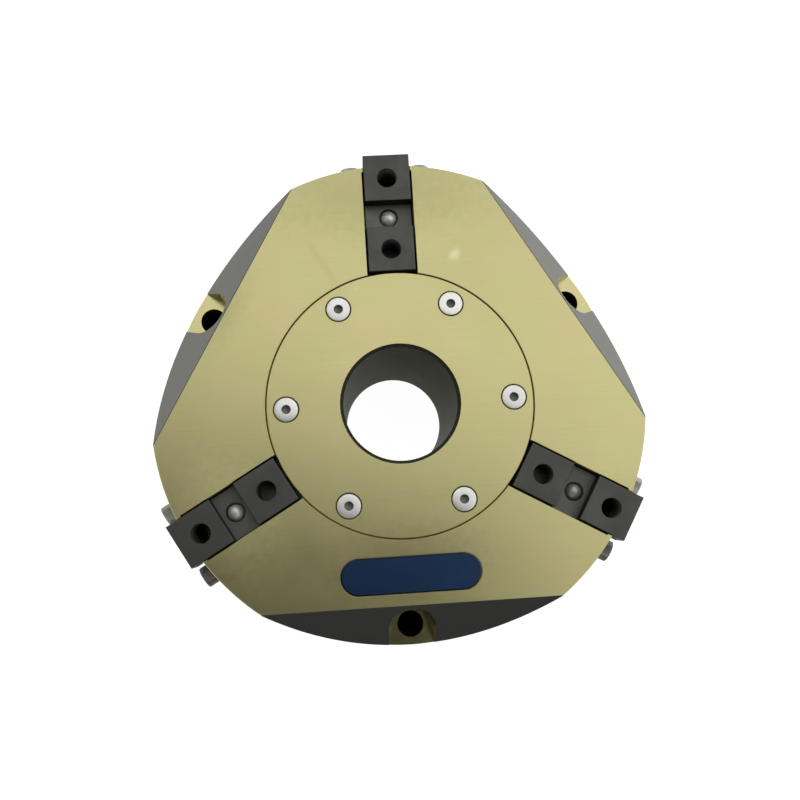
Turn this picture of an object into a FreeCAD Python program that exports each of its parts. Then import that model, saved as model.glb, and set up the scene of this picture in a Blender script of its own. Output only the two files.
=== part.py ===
"""Centric gripper with three radial jaws, a through bore and a wedge-hook drive.

The origin is on the gripper's axis in its mounting face. Z runs up to the jaw side.
Jaw 1 points along +Y, jaws 2 and 3 follow anticlockwise. The jaws stand closed.
All sizes are in millimetres.
"""

import FreeCAD, Part

import math
import os

# Body
BODY_R = 62.5
BODY_H = 58.0
TOP_CHAMFER = 0.4
BASE_CHAMFER = 0.6
FLANK_INSET = 12.25
FLANK_DEG = 28.6
FIRST_JAW_DEG = 90.0
JAW_COUNT = 3

# Through bore and its sleeve
BORE_R = 14.5
SLEEVE_WALL = 2.0
SLEEVE_FOOT_R = 20.0
SLEEVE_FOOT_T = 2.2
BORE_LIP_T = 1.2
BORE_LIP_CHAMFER = 0.8

# Jaw guide in the body
GUIDE_DEPTH = 25.0
FLANGE_H = 11.0
FLANGE_W = 20.0
NECK_GAP = 0.4
GUIDE_GAP = 0.05

# Base jaws
JAW_W = 12.0
JAW_LENGTH = 31.0
JAW_OVERHANG = 2.8
JAW_PROUD = 0.5
JAW_END_GAP = 0.35
JAW_STROKE = 6.0
INNER_PAD = 11.7
KEY_SLOT_W = 7.0
KEY_SLOT_DEPTH = 4.0
JAW_THREAD_R = 2.5
JAW_THREAD_SPACING = 19.0
JAW_THREAD_DEPTH = 10.0

# Detent plunger in the key slot
PLUNGER_R = 2.5
PLUNGER_L = 7.9
PLUNGER_WALL = 0.4
PLUNGER_FLOOR = 0.8
PLUNGER_LIP_R = 1.9
PLUNGER_LIP_T = 0.3
PLUNGER_INSET = 0.1
BALL_R = 2.0
BALL_OUT = 0.9
SPRING_OUT_R = 1.7
SPRING_IN_R = 1.1

# Drive: the wedge hook slides on the sleeve, and its arms run in slanted grooves of the jaws
PISTON_STROKE = 10.0
HUB_WALL = 4.65
HOOK_MID_R = 29.0
HOOK_HEAD_T = 3.2
HOOK_HEAD_W = 12.0
HOOK_STEM_W = 6.0
HOOK_LIP_T = 3.0
HOOK_BACK_T = 1.2
HOOK_GAP = 0.1

# Cylinder and piston
CHAMBER_WALL = 18.5
PISTON_T = 9.0
PISTON_STEP_H = 2.5
PISTON_STEP_R = 3.0
PISTON_RECESS_H = 2.4
PISTON_SPIGOT_WALL = 2.95
RING_T = 1.2
RING_DEPTH = 0.9
RING_W = 3.4
SEAL_H = 2.2
SEAL_W = 1.8
SMALL_SEAL = 1.4

# Top cover
COVER_T = 6.0
COVER_SCREW_INSET = 5.1
COVER_SCREWS = 6
COVER_SCREW_L = 13.0

# Bottom cover
BASE_COVER_T = 6.0
BASE_COVER_RIM = 7.0
BASE_SCREW_INSET = 3.5
BASE_SCREWS = 6
BASE_SCREW_L = 14.0

# Mounting holes in the flank pockets
MOUNT_EDGE = 5.5
MOUNT_HOLE_R = 3.5
POCKET_R = 6.0
POCKET_DEPTH = 22.5

# Guide end plates
PLATE_SEAT_INSET = 1.2
PLATE_T = 1.5
PLATE_W = 24.0
PLATE_TOP_DEPTH = 8.0
PLATE_H = 18.5
PLATE_SCREW_SPREAD = 18.4
PLATE_SCREW_DROP = 3.0
PLATE_SCREW_L = 7.5

# Screws of size M3
SHANK_R = 1.5
THREAD_GAP = 0.05
CLEAR_R = 1.7
FLAT_HEAD_R = 3.1
FLAT_HEAD_RIM = 0.2
FLAT_HEX = 2.0
FLAT_HEX_DEPTH = 1.1
CAP_HEAD_R = 2.75
CAP_HEAD_H = 3.0
CAP_HEX = 2.5
CAP_HEX_DEPTH = 1.4
SCREW_TIP = 0.4

# Air ports in the side
PORT_R = 2.1
PORT_DEPTH = 7.5
PORT_MOUTH = 0.5
CHANNEL_R = 1.0

# Blank badge plate
BADGE_L = 35.0
BADGE_W = 9.2
BADGE_T = 0.5
BADGE_RECESS = 0.4
BADGE_INSET = 19.9
BADGE_GAP = 0.1

# Shared clearances
SLIDE_GAP = 0.05
SEAT_GAP = 0.05
END_GAP = 0.3
OVERCUT = 1.0

# Places that follow from the sizes above
JAW_DEGS = [FIRST_JAW_DEG + 360.0 * n / JAW_COUNT for n in range(JAW_COUNT)]
FLANK_DEGS = [deg + 180.0 for deg in JAW_DEGS]
BADGE_DEG = FIRST_JAW_DEG + 180.0
FLANK_RUN = math.tan(math.radians(FLANK_DEG))
WEDGE_RATIO = JAW_STROKE / PISTON_STROKE

SLEEVE_R = BORE_R + SLEEVE_WALL
SLEEVE_TOP = BODY_H - BORE_LIP_T
HUB_BORE_R = SLEEVE_R + SLIDE_GAP
HUB_R = HUB_BORE_R + HUB_WALL
SPIGOT_R = HUB_BORE_R + PISTON_SPIGOT_WALL

JAW_TOP = BODY_H + JAW_PROUD
JAW_OUT_R = BODY_R + JAW_OVERHANG
JAW_IN_R = JAW_OUT_R - JAW_LENGTH
KEY_SLOT_IN_R = JAW_IN_R + INNER_PAD
KEY_SLOT_R = KEY_SLOT_IN_R + KEY_SLOT_W / 2
KEY_SLOT_FLOOR = JAW_TOP - KEY_SLOT_DEPTH
GUIDE_FLOOR = BODY_H - GUIDE_DEPTH
FLANGE_ROOF = GUIDE_FLOOR + FLANGE_H
COVER_R = JAW_IN_R - JAW_END_GAP
COVER_SEAT = BODY_H - COVER_T
COVER_SCREW_R = COVER_R - COVER_SCREW_INSET

CHAMBER_R = BODY_R - CHAMBER_WALL
CHAMBER_FLOOR = BASE_COVER_T
PISTON_Z = CHAMBER_FLOOR + END_GAP
PISTON_TOP = PISTON_Z + PISTON_T
CHAMBER_ROOF = PISTON_TOP + PISTON_STROKE + END_GAP
BASE_COVER_R = CHAMBER_R + BASE_COVER_RIM
BASE_SCREW_R = BASE_COVER_R - BASE_SCREW_INSET

HOOK_Z = GUIDE_FLOOR + END_GAP
HOOK_TOP = COVER_SEAT - END_GAP - PISTON_STROKE
HOOK_MID_Z = (HOOK_Z + HOOK_TOP) / 2
HOOK_IN = HOOK_MID_R - HOOK_HEAD_T / 2
HOOK_OUT = HOOK_MID_R + HOOK_HEAD_T / 2
FOOT_TOP = COVER_SEAT - END_GAP
FOOT_IN = HOOK_IN - HOOK_GAP - HOOK_LIP_T
FOOT_OUT_R = HOOK_OUT + HOOK_GAP + HOOK_BACK_T - WEDGE_RATIO * (FLANGE_ROOF - HOOK_MID_Z)

PLATE_SEAT_R = BODY_R - PLATE_SEAT_INSET
PLATE_TOP = BODY_H - PLATE_TOP_DEPTH
PLATE_SCREW_Z = PLATE_TOP - PLATE_SCREW_DROP
FLANGE_OUT_R = PLATE_SEAT_R - JAW_STROKE - END_GAP
TONGUE_Z = PLATE_TOP + END_GAP

MOUNT_R = BODY_R - MOUNT_EDGE
POCKET_FLOOR = BODY_H - POCKET_DEPTH
OPEN_PORT_Z = CHAMBER_FLOOR + END_GAP + PISTON_STEP_H / 2
CLOSE_PORT_Z = CHAMBER_ROOF - END_GAP - PISTON_STEP_H / 2


# Basic shapes. Those on a radius lie along +X until they are turned to their place.


def turned(profile):
    """Solid of revolution about Z from (radius, height) corners."""
    corners = [FreeCAD.Vector(r, 0, z) for r, z in profile]
    face = Part.Face(Part.makePolygon(corners + corners[:1]))
    return face.revolve(FreeCAD.Vector(0, 0, 0), FreeCAD.Vector(0, 0, 1), 360)


def disc(radius, z_low, z_high):
    return Part.makeCylinder(radius, z_high - z_low, FreeCAD.Vector(0, 0, z_low))


def ring(r_out, r_in, z_low, z_high):
    return turned([(r_in, z_low), (r_out, z_low), (r_out, z_high), (r_in, z_high)])


def slab(profile, width):
    """(radius, height) corners, extruded to both sides of the radius."""
    corners = [FreeCAD.Vector(r, -width / 2, z) for r, z in profile]
    face = Part.Face(Part.makePolygon(corners + corners[:1]))
    return face.extrude(FreeCAD.Vector(0, width, 0))


def bar(r_in, r_out, width, z_low, z_high):
    return slab([(r_in, z_low), (r_out, z_low), (r_out, z_high), (r_in, z_high)], width)


def peg(radius, r, z_low, z_high):
    """Upright cylinder at radius r."""
    return Part.makeCylinder(radius, z_high - z_low, FreeCAD.Vector(r, 0, z_low))


def side_peg(radius, r_in, r_out, z, offset=0.0):
    """Cylinder along the radius, offset sideways."""
    start = FreeCAD.Vector(r_in, offset, z)
    return Part.makeCylinder(radius, r_out - r_in, start, FreeCAD.Vector(1, 0, 0))


def placed(shape, deg):
    """A copy turned about the gripper's axis."""
    copy = shape.copy()
    copy.rotate(FreeCAD.Vector(0, 0, 0), FreeCAD.Vector(0, 0, 1), deg)
    return copy


def around(shape, degs):
    return [placed(shape, deg) for deg in degs]


def even(count):
    return [360.0 * n / count for n in range(count)]


def save(name, *solids):
    shape = solids[0] if len(solids) == 1 else Part.makeCompound(list(solids))
    shape.exportStep(f"parts/{name}.step")


# Screws. Their axis is Z and the head's seat side points down.


def hexagon(across, z_low, z_high):
    corner = across / math.sqrt(3)
    points = [
        FreeCAD.Vector(corner * math.cos(a), corner * math.sin(a), z_low)
        for a in (math.radians(60 * n) for n in range(7))
    ]
    return Part.Face(Part.makePolygon(points)).extrude(FreeCAD.Vector(0, 0, z_high - z_low))


def flat_head_screw(length):
    cone_end = FLAT_HEAD_RIM + FLAT_HEAD_R - SHANK_R
    body = turned(
        [
            (0, 0),
            (FLAT_HEAD_R, 0),
            (FLAT_HEAD_R, -FLAT_HEAD_RIM),
            (SHANK_R, -cone_end),
            (SHANK_R, SCREW_TIP - length),
            (SHANK_R - SCREW_TIP, -length),
            (0, -length),
        ]
    )
    return body.cut(hexagon(FLAT_HEX, -FLAT_HEX_DEPTH, OVERCUT))


def flat_head_seat(depth):
    """Cutter for a countersunk clearance hole through a cover."""
    cone_end = FLAT_HEAD_RIM + FLAT_HEAD_R - CLEAR_R
    return turned(
        [
            (0, OVERCUT),
            (FLAT_HEAD_R, OVERCUT),
            (FLAT_HEAD_R, -FLAT_HEAD_RIM),
            (CLEAR_R, -cone_end),
            (CLEAR_R, -depth - OVERCUT),
            (0, -depth - OVERCUT),
        ]
    )


def cap_screw(length):
    body = disc(CAP_HEAD_R, 0, CAP_HEAD_H).fuse(disc(SHANK_R, -length, 0)).removeSplitter()
    return body.cut(hexagon(CAP_HEX, CAP_HEAD_H - CAP_HEX_DEPTH, CAP_HEAD_H + OVERCUT))


def moved(shape, r, z, flip_deg=0.0):
    """A copy at radius r and height z, first tipped over about Y."""
    copy = shape.copy()
    copy.rotate(FreeCAD.Vector(0, 0, 0), FreeCAD.Vector(0, 1, 0), flip_deg)
    copy.translate(FreeCAD.Vector(r, 0, z))
    return copy


# Body


def flank_cut():
    """One of the slanted flats between two jaws."""
    edge = BODY_R - FLANK_INSET
    beyond = BODY_R + OVERCUT
    low = BODY_H - (beyond - edge) / FLANK_RUN
    top = BODY_H + OVERCUT
    return slab([(edge, BODY_H), (beyond, low), (beyond, top), (edge, top)], 2 * BODY_R)


def pocket_cut():
    """Round-ended pocket for a mounting screw's head, open to the side, with its hole."""
    top = BODY_H + OVERCUT
    end = peg(POCKET_R, MOUNT_R, POCKET_FLOOR, top)
    mouth = bar(MOUNT_R, BODY_R + OVERCUT, 2 * POCKET_R, POCKET_FLOOR, top)
    hole = peg(MOUNT_HOLE_R, MOUNT_R, -OVERCUT, POCKET_FLOOR + OVERCUT)
    return end.fuse([mouth, hole])


def guide_cut():
    """T-shaped jaw guide, its wide room for the jaw's foot and the end plate's seat."""
    beyond = BODY_R + OVERCUT
    wide = FLANGE_W + 2 * GUIDE_GAP
    neck = bar(0, beyond, JAW_W + 2 * NECK_GAP, FLANGE_ROOF, BODY_H + OVERCUT)
    flange = bar(0, beyond, wide, GUIDE_FLOOR, FLANGE_ROOF)
    foot_room_end = FOOT_OUT_R + JAW_STROKE + END_GAP
    foot_room = bar(0, foot_room_end, wide, FLANGE_ROOF, COVER_SEAT)
    seat_low = PLATE_TOP - PLATE_H - SEAT_GAP
    seat = bar(PLATE_SEAT_R, beyond, PLATE_W + 2 * SEAT_GAP, seat_low, PLATE_TOP + SEAT_GAP)
    return neck.fuse([flange, foot_room, seat])


def plate_screw_holes():
    inner = PLATE_SEAT_R - PLATE_SCREW_L + PLATE_T - END_GAP
    hole = SHANK_R + THREAD_GAP
    sides = (-PLATE_SCREW_SPREAD / 2, PLATE_SCREW_SPREAD / 2)
    return [side_peg(hole, inner, PLATE_SEAT_R + OVERCUT, PLATE_SCREW_Z, y) for y in sides]


def port_cut(z):
    """Tapped air port from the side with its channel into the chamber."""
    bottom = BODY_R - PORT_DEPTH
    thread = side_peg(PORT_R, bottom, BODY_R + OVERCUT, z)
    channel = side_peg(CHANNEL_R, CHAMBER_R - OVERCUT, bottom + OVERCUT, z)
    mouth = Part.makeCone(
        PORT_R,
        PORT_R + 2 * PORT_MOUTH,
        2 * PORT_MOUTH,
        FreeCAD.Vector(BODY_R - PORT_MOUTH, 0, z),
        FreeCAD.Vector(1, 0, 0),
    )
    return thread.fuse([channel, mouth])


def badge_shape(grow, z_low, z_high):
    """Round-ended plate form across the radius."""
    half = BADGE_W / 2 + grow
    straight = BADGE_L - BADGE_W
    r = BODY_R - BADGE_INSET
    middle = Part.makeBox(
        2 * half, straight, z_high - z_low, FreeCAD.Vector(r - half, -straight / 2, z_low)
    )
    ends = [
        Part.makeCylinder(half, z_high - z_low, FreeCAD.Vector(r, y, z_low))
        for y in (-straight / 2, straight / 2)
    ]
    return middle.fuse(ends).removeSplitter()


def housing_blank():
    return turned(
        [
            (0, 0),
            (BODY_R - BASE_CHAMFER, 0),
            (BODY_R, BASE_CHAMFER),
            (BODY_R, BODY_H - TOP_CHAMFER),
            (BODY_R - TOP_CHAMFER, BODY_H),
            (0, BODY_H),
        ]
    )


def bore_cuts():
    """Turned rooms on the axis, from the mounting face up."""
    seal_mid = (CHAMBER_ROOF + GUIDE_FLOOR) / 2
    return [
        disc(BASE_COVER_R + SEAT_GAP, -OVERCUT, CHAMBER_FLOOR),
        disc(CHAMBER_R, 0, CHAMBER_ROOF),
        disc(HUB_R + SLIDE_GAP, 0, COVER_SEAT),
        disc(HUB_R + END_GAP, GUIDE_FLOOR, COVER_SEAT),
        disc(HUB_R + SEAL_W, seal_mid - SEAL_H / 2, seal_mid + SEAL_H / 2),
        disc(COVER_R + SEAT_GAP, COVER_SEAT, BODY_H + OVERCUT),
    ]


def housing():
    cover_screw = peg(
        SHANK_R + THREAD_GAP, COVER_SCREW_R, BODY_H - COVER_SCREW_L - END_GAP, BODY_H
    )
    base_screw = peg(SHANK_R + THREAD_GAP, BASE_SCREW_R, 0, BASE_SCREW_L + END_GAP)
    cuts = bore_cuts()
    cuts += around(flank_cut(), FLANK_DEGS)
    cuts += around(pocket_cut(), FLANK_DEGS)
    cuts += around(guide_cut(), JAW_DEGS)
    for hole in plate_screw_holes():
        cuts += around(hole, JAW_DEGS)
    cuts += around(cover_screw, even(COVER_SCREWS))
    cuts += around(base_screw, even(BASE_SCREWS))
    cuts += [placed(port_cut(z), FIRST_JAW_DEG) for z in (OPEN_PORT_Z, CLOSE_PORT_Z)]
    badge = badge_shape(BADGE_GAP, BODY_H - BADGE_RECESS, BODY_H + OVERCUT)
    cuts.append(placed(badge, BADGE_DEG))
    return housing_blank().cut(cuts)


# Covers, sleeve and their seals


def top_cover():
    rim = BORE_R + BORE_LIP_CHAMFER
    plate = turned(
        [
            (SLEEVE_R + SEAT_GAP, COVER_SEAT),
            (COVER_R, COVER_SEAT),
            (COVER_R, BODY_H),
            (rim, BODY_H),
            (BORE_R, BODY_H - BORE_LIP_CHAMFER),
            (BORE_R, SLEEVE_TOP),
            (SLEEVE_R + SEAT_GAP, SLEEVE_TOP),
        ]
    )
    seat = moved(flat_head_seat(COVER_T), COVER_SCREW_R, BODY_H)
    return plate.cut(around(seat, even(COVER_SCREWS)))


def top_cover_screws():
    screw = moved(flat_head_screw(COVER_SCREW_L), COVER_SCREW_R, BODY_H)
    return around(screw, even(COVER_SCREWS))


def centre_sleeve():
    return turned(
        [
            (BORE_R, 0),
            (SLEEVE_FOOT_R, 0),
            (SLEEVE_FOOT_R, SLEEVE_FOOT_T),
            (SLEEVE_R, SLEEVE_FOOT_T),
            (SLEEVE_R, SLEEVE_TOP),
            (BORE_R, SLEEVE_TOP),
        ]
    )


def sleeve_seal_span():
    middle = (SLEEVE_FOOT_T + BASE_COVER_T) / 2
    return middle - SMALL_SEAL / 2, middle + SMALL_SEAL / 2


def bottom_cover():
    low, high = sleeve_seal_span()
    seal_in = CHAMBER_R + SEAT_GAP
    cuts = [
        disc(SLEEVE_FOOT_R + SEAT_GAP, -OVERCUT, SLEEVE_FOOT_T),
        disc(SLEEVE_R + SEAT_GAP, -OVERCUT, BASE_COVER_T + OVERCUT),
        disc(SLEEVE_R + SMALL_SEAL, low, high),
        ring(seal_in + SMALL_SEAL, seal_in, BASE_COVER_T - SMALL_SEAL, BASE_COVER_T + OVERCUT),
    ]
    seat = moved(flat_head_seat(BASE_COVER_T), BASE_SCREW_R, 0, 180)
    cuts += around(seat, even(BASE_SCREWS))
    return disc(BASE_COVER_R, 0, BASE_COVER_T).cut(cuts)


def bottom_cover_screws():
    screw = moved(flat_head_screw(BASE_SCREW_L), BASE_SCREW_R, 0, 180)
    return around(screw, even(BASE_SCREWS))


def bottom_cover_seal():
    seal_in = CHAMBER_R + SEAT_GAP
    return ring(seal_in + SMALL_SEAL, seal_in, BASE_COVER_T - SMALL_SEAL, BASE_COVER_T)


def sleeve_seal():
    low, high = sleeve_seal_span()
    return ring(SLEEVE_R + SMALL_SEAL, SLEEVE_R, low, high)


# Guide end plates


def end_plate():
    plate = bar(PLATE_SEAT_R, PLATE_SEAT_R + PLATE_T, PLATE_W, PLATE_TOP - PLATE_H, PLATE_TOP)
    far = PLATE_SEAT_R + PLATE_T + OVERCUT
    sides = (-PLATE_SCREW_SPREAD / 2, PLATE_SCREW_SPREAD / 2)
    return plate.cut([side_peg(CLEAR_R, 0, far, PLATE_SCREW_Z, y) for y in sides])


def end_plate_screws():
    screw = moved(cap_screw(PLATE_SCREW_L), PLATE_SEAT_R + PLATE_T, PLATE_SCREW_Z, 90)
    solids = []
    for side in (-1, 1):
        beside = screw.copy()
        beside.translate(FreeCAD.Vector(0, side * PLATE_SCREW_SPREAD / 2, 0))
        solids += around(beside, JAW_DEGS)
    return solids


def badge_plate():
    low = BODY_H - BADGE_RECESS
    return placed(badge_shape(0, low, low + BADGE_T), BADGE_DEG)


# Drive


def slanted(c_in, c_out, width, z_low, z_high):
    """Bar that leans inwards with height. Its radii are those at the hook's mid height."""

    def at(c, z):
        return c - WEDGE_RATIO * (z - HOOK_MID_Z), z

    return slab([at(c_in, z_low), at(c_out, z_low), at(c_out, z_high), at(c_in, z_high)], width)


def hook_arm():
    stem = slanted(HUB_R, HOOK_IN, HOOK_STEM_W, HOOK_Z, HOOK_TOP)
    root = bar(HUB_BORE_R + HUB_WALL / 2, HOOK_IN - HOOK_LIP_T, HOOK_STEM_W, HOOK_Z, HOOK_TOP)
    head = slanted(HOOK_IN, HOOK_OUT, HOOK_HEAD_W, HOOK_Z, HOOK_TOP)
    return head.fuse([stem, root])


def ring_span():
    high = PISTON_Z + PISTON_RECESS_H
    return high - RING_T, high


def hub_seal_span():
    middle = (PISTON_Z + PISTON_RECESS_H + PISTON_TOP) / 2
    return middle - SEAL_H / 2, middle + SEAL_H / 2


def wedge_hook():
    hub = turned(
        [
            (HUB_BORE_R, PISTON_Z),
            (SPIGOT_R, PISTON_Z),
            (SPIGOT_R, PISTON_TOP),
            (HUB_R, PISTON_TOP),
            (HUB_R, HOOK_TOP),
            (HUB_BORE_R, HOOK_TOP),
        ]
    )
    ring_low, ring_high = ring_span()
    seal_low, seal_high = hub_seal_span()
    groove = ring(SPIGOT_R + OVERCUT, SPIGOT_R - RING_DEPTH, ring_low, ring_high)
    seal_room = ring(HUB_BORE_R + SMALL_SEAL, SLEEVE_R, seal_low, seal_high)
    return hub.fuse(around(hook_arm(), JAW_DEGS)).cut([groove, seal_room])


def wedge_hook_seal():
    low, high = hub_seal_span()
    return ring(HUB_BORE_R + SMALL_SEAL, SLEEVE_R + SLIDE_GAP / 2, low, high)


def piston_seal_span():
    middle = PISTON_Z + PISTON_T / 2
    return middle - SEAL_H / 2, middle + SEAL_H / 2


def piston():
    rim = CHAMBER_R - SLIDE_GAP
    step = rim - PISTON_STEP_R
    low, high = piston_seal_span()
    recess = PISTON_Z + PISTON_RECESS_H
    return turned(
        [
            (SPIGOT_R - RING_DEPTH + RING_W + END_GAP, PISTON_Z),
            (step, PISTON_Z),
            (step, PISTON_Z + PISTON_STEP_H),
            (rim, PISTON_Z + PISTON_STEP_H),
            (rim, low),
            (rim - SEAL_W, low),
            (rim - SEAL_W, high),
            (rim, high),
            (rim, PISTON_TOP - PISTON_STEP_H),
            (step, PISTON_TOP - PISTON_STEP_H),
            (step, PISTON_TOP),
            (SPIGOT_R, PISTON_TOP),
            (SPIGOT_R, recess),
            (SPIGOT_R - RING_DEPTH + RING_W + END_GAP, recess),
        ]
    )


def piston_seal():
    low, high = piston_seal_span()
    return ring(CHAMBER_R - SLIDE_GAP / 2, CHAMBER_R - SLIDE_GAP - SEAL_W, low, high)


def piston_retaining_ring():
    """Split ring in the spigot's groove under the piston."""
    low, high = ring_span()
    inner = SPIGOT_R - RING_DEPTH
    whole = ring(inner + RING_W, inner, low, high)
    return whole.cut(bar(0, inner + RING_W + OVERCUT, RING_W, low - OVERCUT, high + OVERCUT))


def rod_seal():
    middle = (CHAMBER_ROOF + GUIDE_FLOOR) / 2
    return ring(HUB_R + SEAL_W, HUB_R + SLIDE_GAP / 2, middle - SEAL_H / 2, middle + SEAL_H / 2)


# Base jaws


def jaw_blank():
    """Narrow upper profile with the tongue, and wide flange with the foot."""
    foot_r = SLEEVE_R + END_GAP
    low = GUIDE_FLOOR + GUIDE_GAP
    roof = FLANGE_ROOF - GUIDE_GAP
    narrow = slab(
        [
            (foot_r, low),
            (FLANGE_OUT_R, low),
            (FLANGE_OUT_R, TONGUE_Z),
            (JAW_OUT_R, TONGUE_Z),
            (JAW_OUT_R, JAW_TOP),
            (JAW_IN_R, JAW_TOP),
            (JAW_IN_R, FOOT_TOP),
            (foot_r, FOOT_TOP),
        ],
        JAW_W,
    )
    wide = slab(
        [
            (0, low),
            (FLANGE_OUT_R, low),
            (FLANGE_OUT_R, roof),
            (FOOT_OUT_R, roof),
            (FOOT_OUT_R, FOOT_TOP),
            (0, FOOT_TOP),
        ],
        FLANGE_W,
    )
    return narrow.fuse(wide).removeSplitter()


def hook_groove():
    """Room for the hook's arm, and the slanted inner face that clears the hub."""
    low = GUIDE_FLOOR - OVERCUT
    high = FOOT_TOP + OVERCUT
    side = 2 * HOOK_GAP
    head = slanted(HOOK_IN - HOOK_GAP, HOOK_OUT + HOOK_GAP, HOOK_HEAD_W + side, low, high)
    stem = slanted(FOOT_IN - OVERCUT, HOOK_MID_R, HOOK_STEM_W + side, low, high)
    inside = slanted(-BODY_R, FOOT_IN, FLANGE_W + OVERCUT, low, high)
    return [head, stem, inside, disc(SLEEVE_R + END_GAP, low, high)]


def jaw_threads():
    inner = KEY_SLOT_R - JAW_THREAD_SPACING / 2
    outer = KEY_SLOT_R + JAW_THREAD_SPACING / 2
    top = JAW_TOP + OVERCUT
    blind = peg(JAW_THREAD_R, inner, JAW_TOP - JAW_THREAD_DEPTH, top)
    through = peg(JAW_THREAD_R, outer, TONGUE_Z - OVERCUT, top)
    return [blind, through]


def plunger_floor():
    return KEY_SLOT_FLOOR - PLUNGER_INSET - PLUNGER_L


def base_jaw():
    slot_out = KEY_SLOT_IN_R + KEY_SLOT_W
    key_slot = bar(KEY_SLOT_IN_R, slot_out, JAW_W + OVERCUT, KEY_SLOT_FLOOR, JAW_TOP + OVERCUT)
    plunger_bore = peg(PLUNGER_R, KEY_SLOT_R, plunger_floor(), JAW_TOP)
    cuts = [key_slot, plunger_bore]
    return jaw_blank().cut(cuts + hook_groove() + jaw_threads())


def detent_sleeve():
    bottom = plunger_floor()
    top = bottom + PLUNGER_L
    inner = PLUNGER_R - PLUNGER_WALL
    shell = turned(
        [
            (0, bottom),
            (PLUNGER_R, bottom),
            (PLUNGER_R, top),
            (PLUNGER_LIP_R, top),
            (PLUNGER_LIP_R, top - PLUNGER_LIP_T),
            (inner, top - PLUNGER_LIP_T),
            (inner, bottom + PLUNGER_FLOOR),
            (0, bottom + PLUNGER_FLOOR),
        ]
    )
    return moved(shell, KEY_SLOT_R, 0)


def ball_centre_z():
    return KEY_SLOT_FLOOR - PLUNGER_INSET + BALL_OUT - BALL_R


def detent_ball():
    return Part.makeSphere(BALL_R, FreeCAD.Vector(KEY_SLOT_R, 0, ball_centre_z()))


def detent_spring():
    """Outer form of the coil spring, from the sleeve's floor to the ball."""
    top = ball_centre_z() - math.sqrt(BALL_R**2 - SPRING_IN_R**2) - THREAD_GAP
    coil = ring(SPRING_OUT_R, SPRING_IN_R, plunger_floor() + PLUNGER_FLOOR, top)
    return moved(coil, KEY_SLOT_R, 0)


def main():
    os.makedirs("parts", exist_ok=True)
    save("housing", housing())
    save("top_cover", top_cover())
    save("top_cover_screws", *top_cover_screws())
    save("centre_sleeve", centre_sleeve())
    save("sleeve_seal", sleeve_seal())
    save("bottom_cover", bottom_cover())
    save("bottom_cover_screws", *bottom_cover_screws())
    save("bottom_cover_seal", bottom_cover_seal())
    save("rod_seal", rod_seal())
    save("end_plate_screws", *end_plate_screws())
    save("badge_plate", badge_plate())
    save("piston", piston())
    save("piston_seal", piston_seal())
    save("piston_retaining_ring", piston_retaining_ring())
    save("wedge_hook", wedge_hook())
    save("wedge_hook_seal", wedge_hook_seal())
    for number, deg in enumerate(JAW_DEGS, 1):
        save(f"end_plate_{number}", placed(end_plate(), deg))
        save(f"base_jaw_{number}", placed(base_jaw(), deg))
        save(f"detent_sleeve_{number}", placed(detent_sleeve(), deg))
        save(f"detent_spring_{number}", placed(detent_spring(), deg))
        save(f"detent_ball_{number}", placed(detent_ball(), deg))


main()
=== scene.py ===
"""Finished pieces, materials, light and camera for a centric gripper with three jaws."""

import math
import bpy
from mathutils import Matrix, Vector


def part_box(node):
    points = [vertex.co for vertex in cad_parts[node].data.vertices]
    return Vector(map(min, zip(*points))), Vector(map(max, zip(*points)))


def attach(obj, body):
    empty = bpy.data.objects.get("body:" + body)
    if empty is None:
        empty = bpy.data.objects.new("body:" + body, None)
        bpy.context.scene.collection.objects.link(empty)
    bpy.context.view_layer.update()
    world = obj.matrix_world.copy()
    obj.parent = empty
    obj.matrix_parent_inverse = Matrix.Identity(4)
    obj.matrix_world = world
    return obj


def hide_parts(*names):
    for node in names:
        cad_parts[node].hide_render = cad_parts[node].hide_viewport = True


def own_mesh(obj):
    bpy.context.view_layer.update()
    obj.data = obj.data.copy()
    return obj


bl_info = {
    "name": "Three Jaw Centric Gripper",
    "version": (1, 0, 0),
    "blender": (4, 5, 0),
    "location": "3D View > Sidebar > Gripper",
    "description": "Models the gripper's visible pieces over its solids and gives them their finishes",
    "category": "Object",
}

import bmesh
import bpy
from bpy.props import FloatProperty, FloatVectorProperty, IntProperty, PointerProperty
from mathutils import Matrix, Vector

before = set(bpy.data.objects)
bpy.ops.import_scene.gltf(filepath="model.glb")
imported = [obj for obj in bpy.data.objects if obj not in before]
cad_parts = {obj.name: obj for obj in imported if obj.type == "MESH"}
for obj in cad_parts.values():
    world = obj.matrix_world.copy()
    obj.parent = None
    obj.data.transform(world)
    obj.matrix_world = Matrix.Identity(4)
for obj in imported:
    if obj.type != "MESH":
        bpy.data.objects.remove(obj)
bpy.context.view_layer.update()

MM = 0.001
OVERCUT = 1 * MM
FIT = 0.05 * MM
HAIR = 0.01 * MM
WELD = 1e-6
SIDES = 240


def span(node):
    """Outer radius, lowest and highest point of a node on the axis, to a hundredth of a millimetre."""
    low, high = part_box(node)
    return round(high.x, 5), round(low.z, 5), round(high.z, 5)


BODY_R, _, BODY_H = span("housing")
COVER_R, COVER_SEAT, _ = span("top_cover")
BASE_COVER_R, _, BASE_COVER_T = span("bottom_cover")
JAW_DEGS = (90.0, 210.0, 330.0)
FLANK_DEGS = (270.0, 30.0, 150.0)
SIXTHS = tuple(60.0 * n for n in range(6))
BORE_LIP = 1.2 * MM


# What a user would change


def length(name, description, default):
    return FloatProperty(
        name=name, description=description, default=default, min=0.0, precision=5, unit="LENGTH"
    )


def angle(name, description, degrees):
    return FloatProperty(
        name=name, description=description, default=math.radians(degrees), subtype="ANGLE"
    )


def share(name, description, default):
    return FloatProperty(
        name=name, description=description, default=default, min=0.0, max=1.0, subtype="FACTOR"
    )


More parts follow.
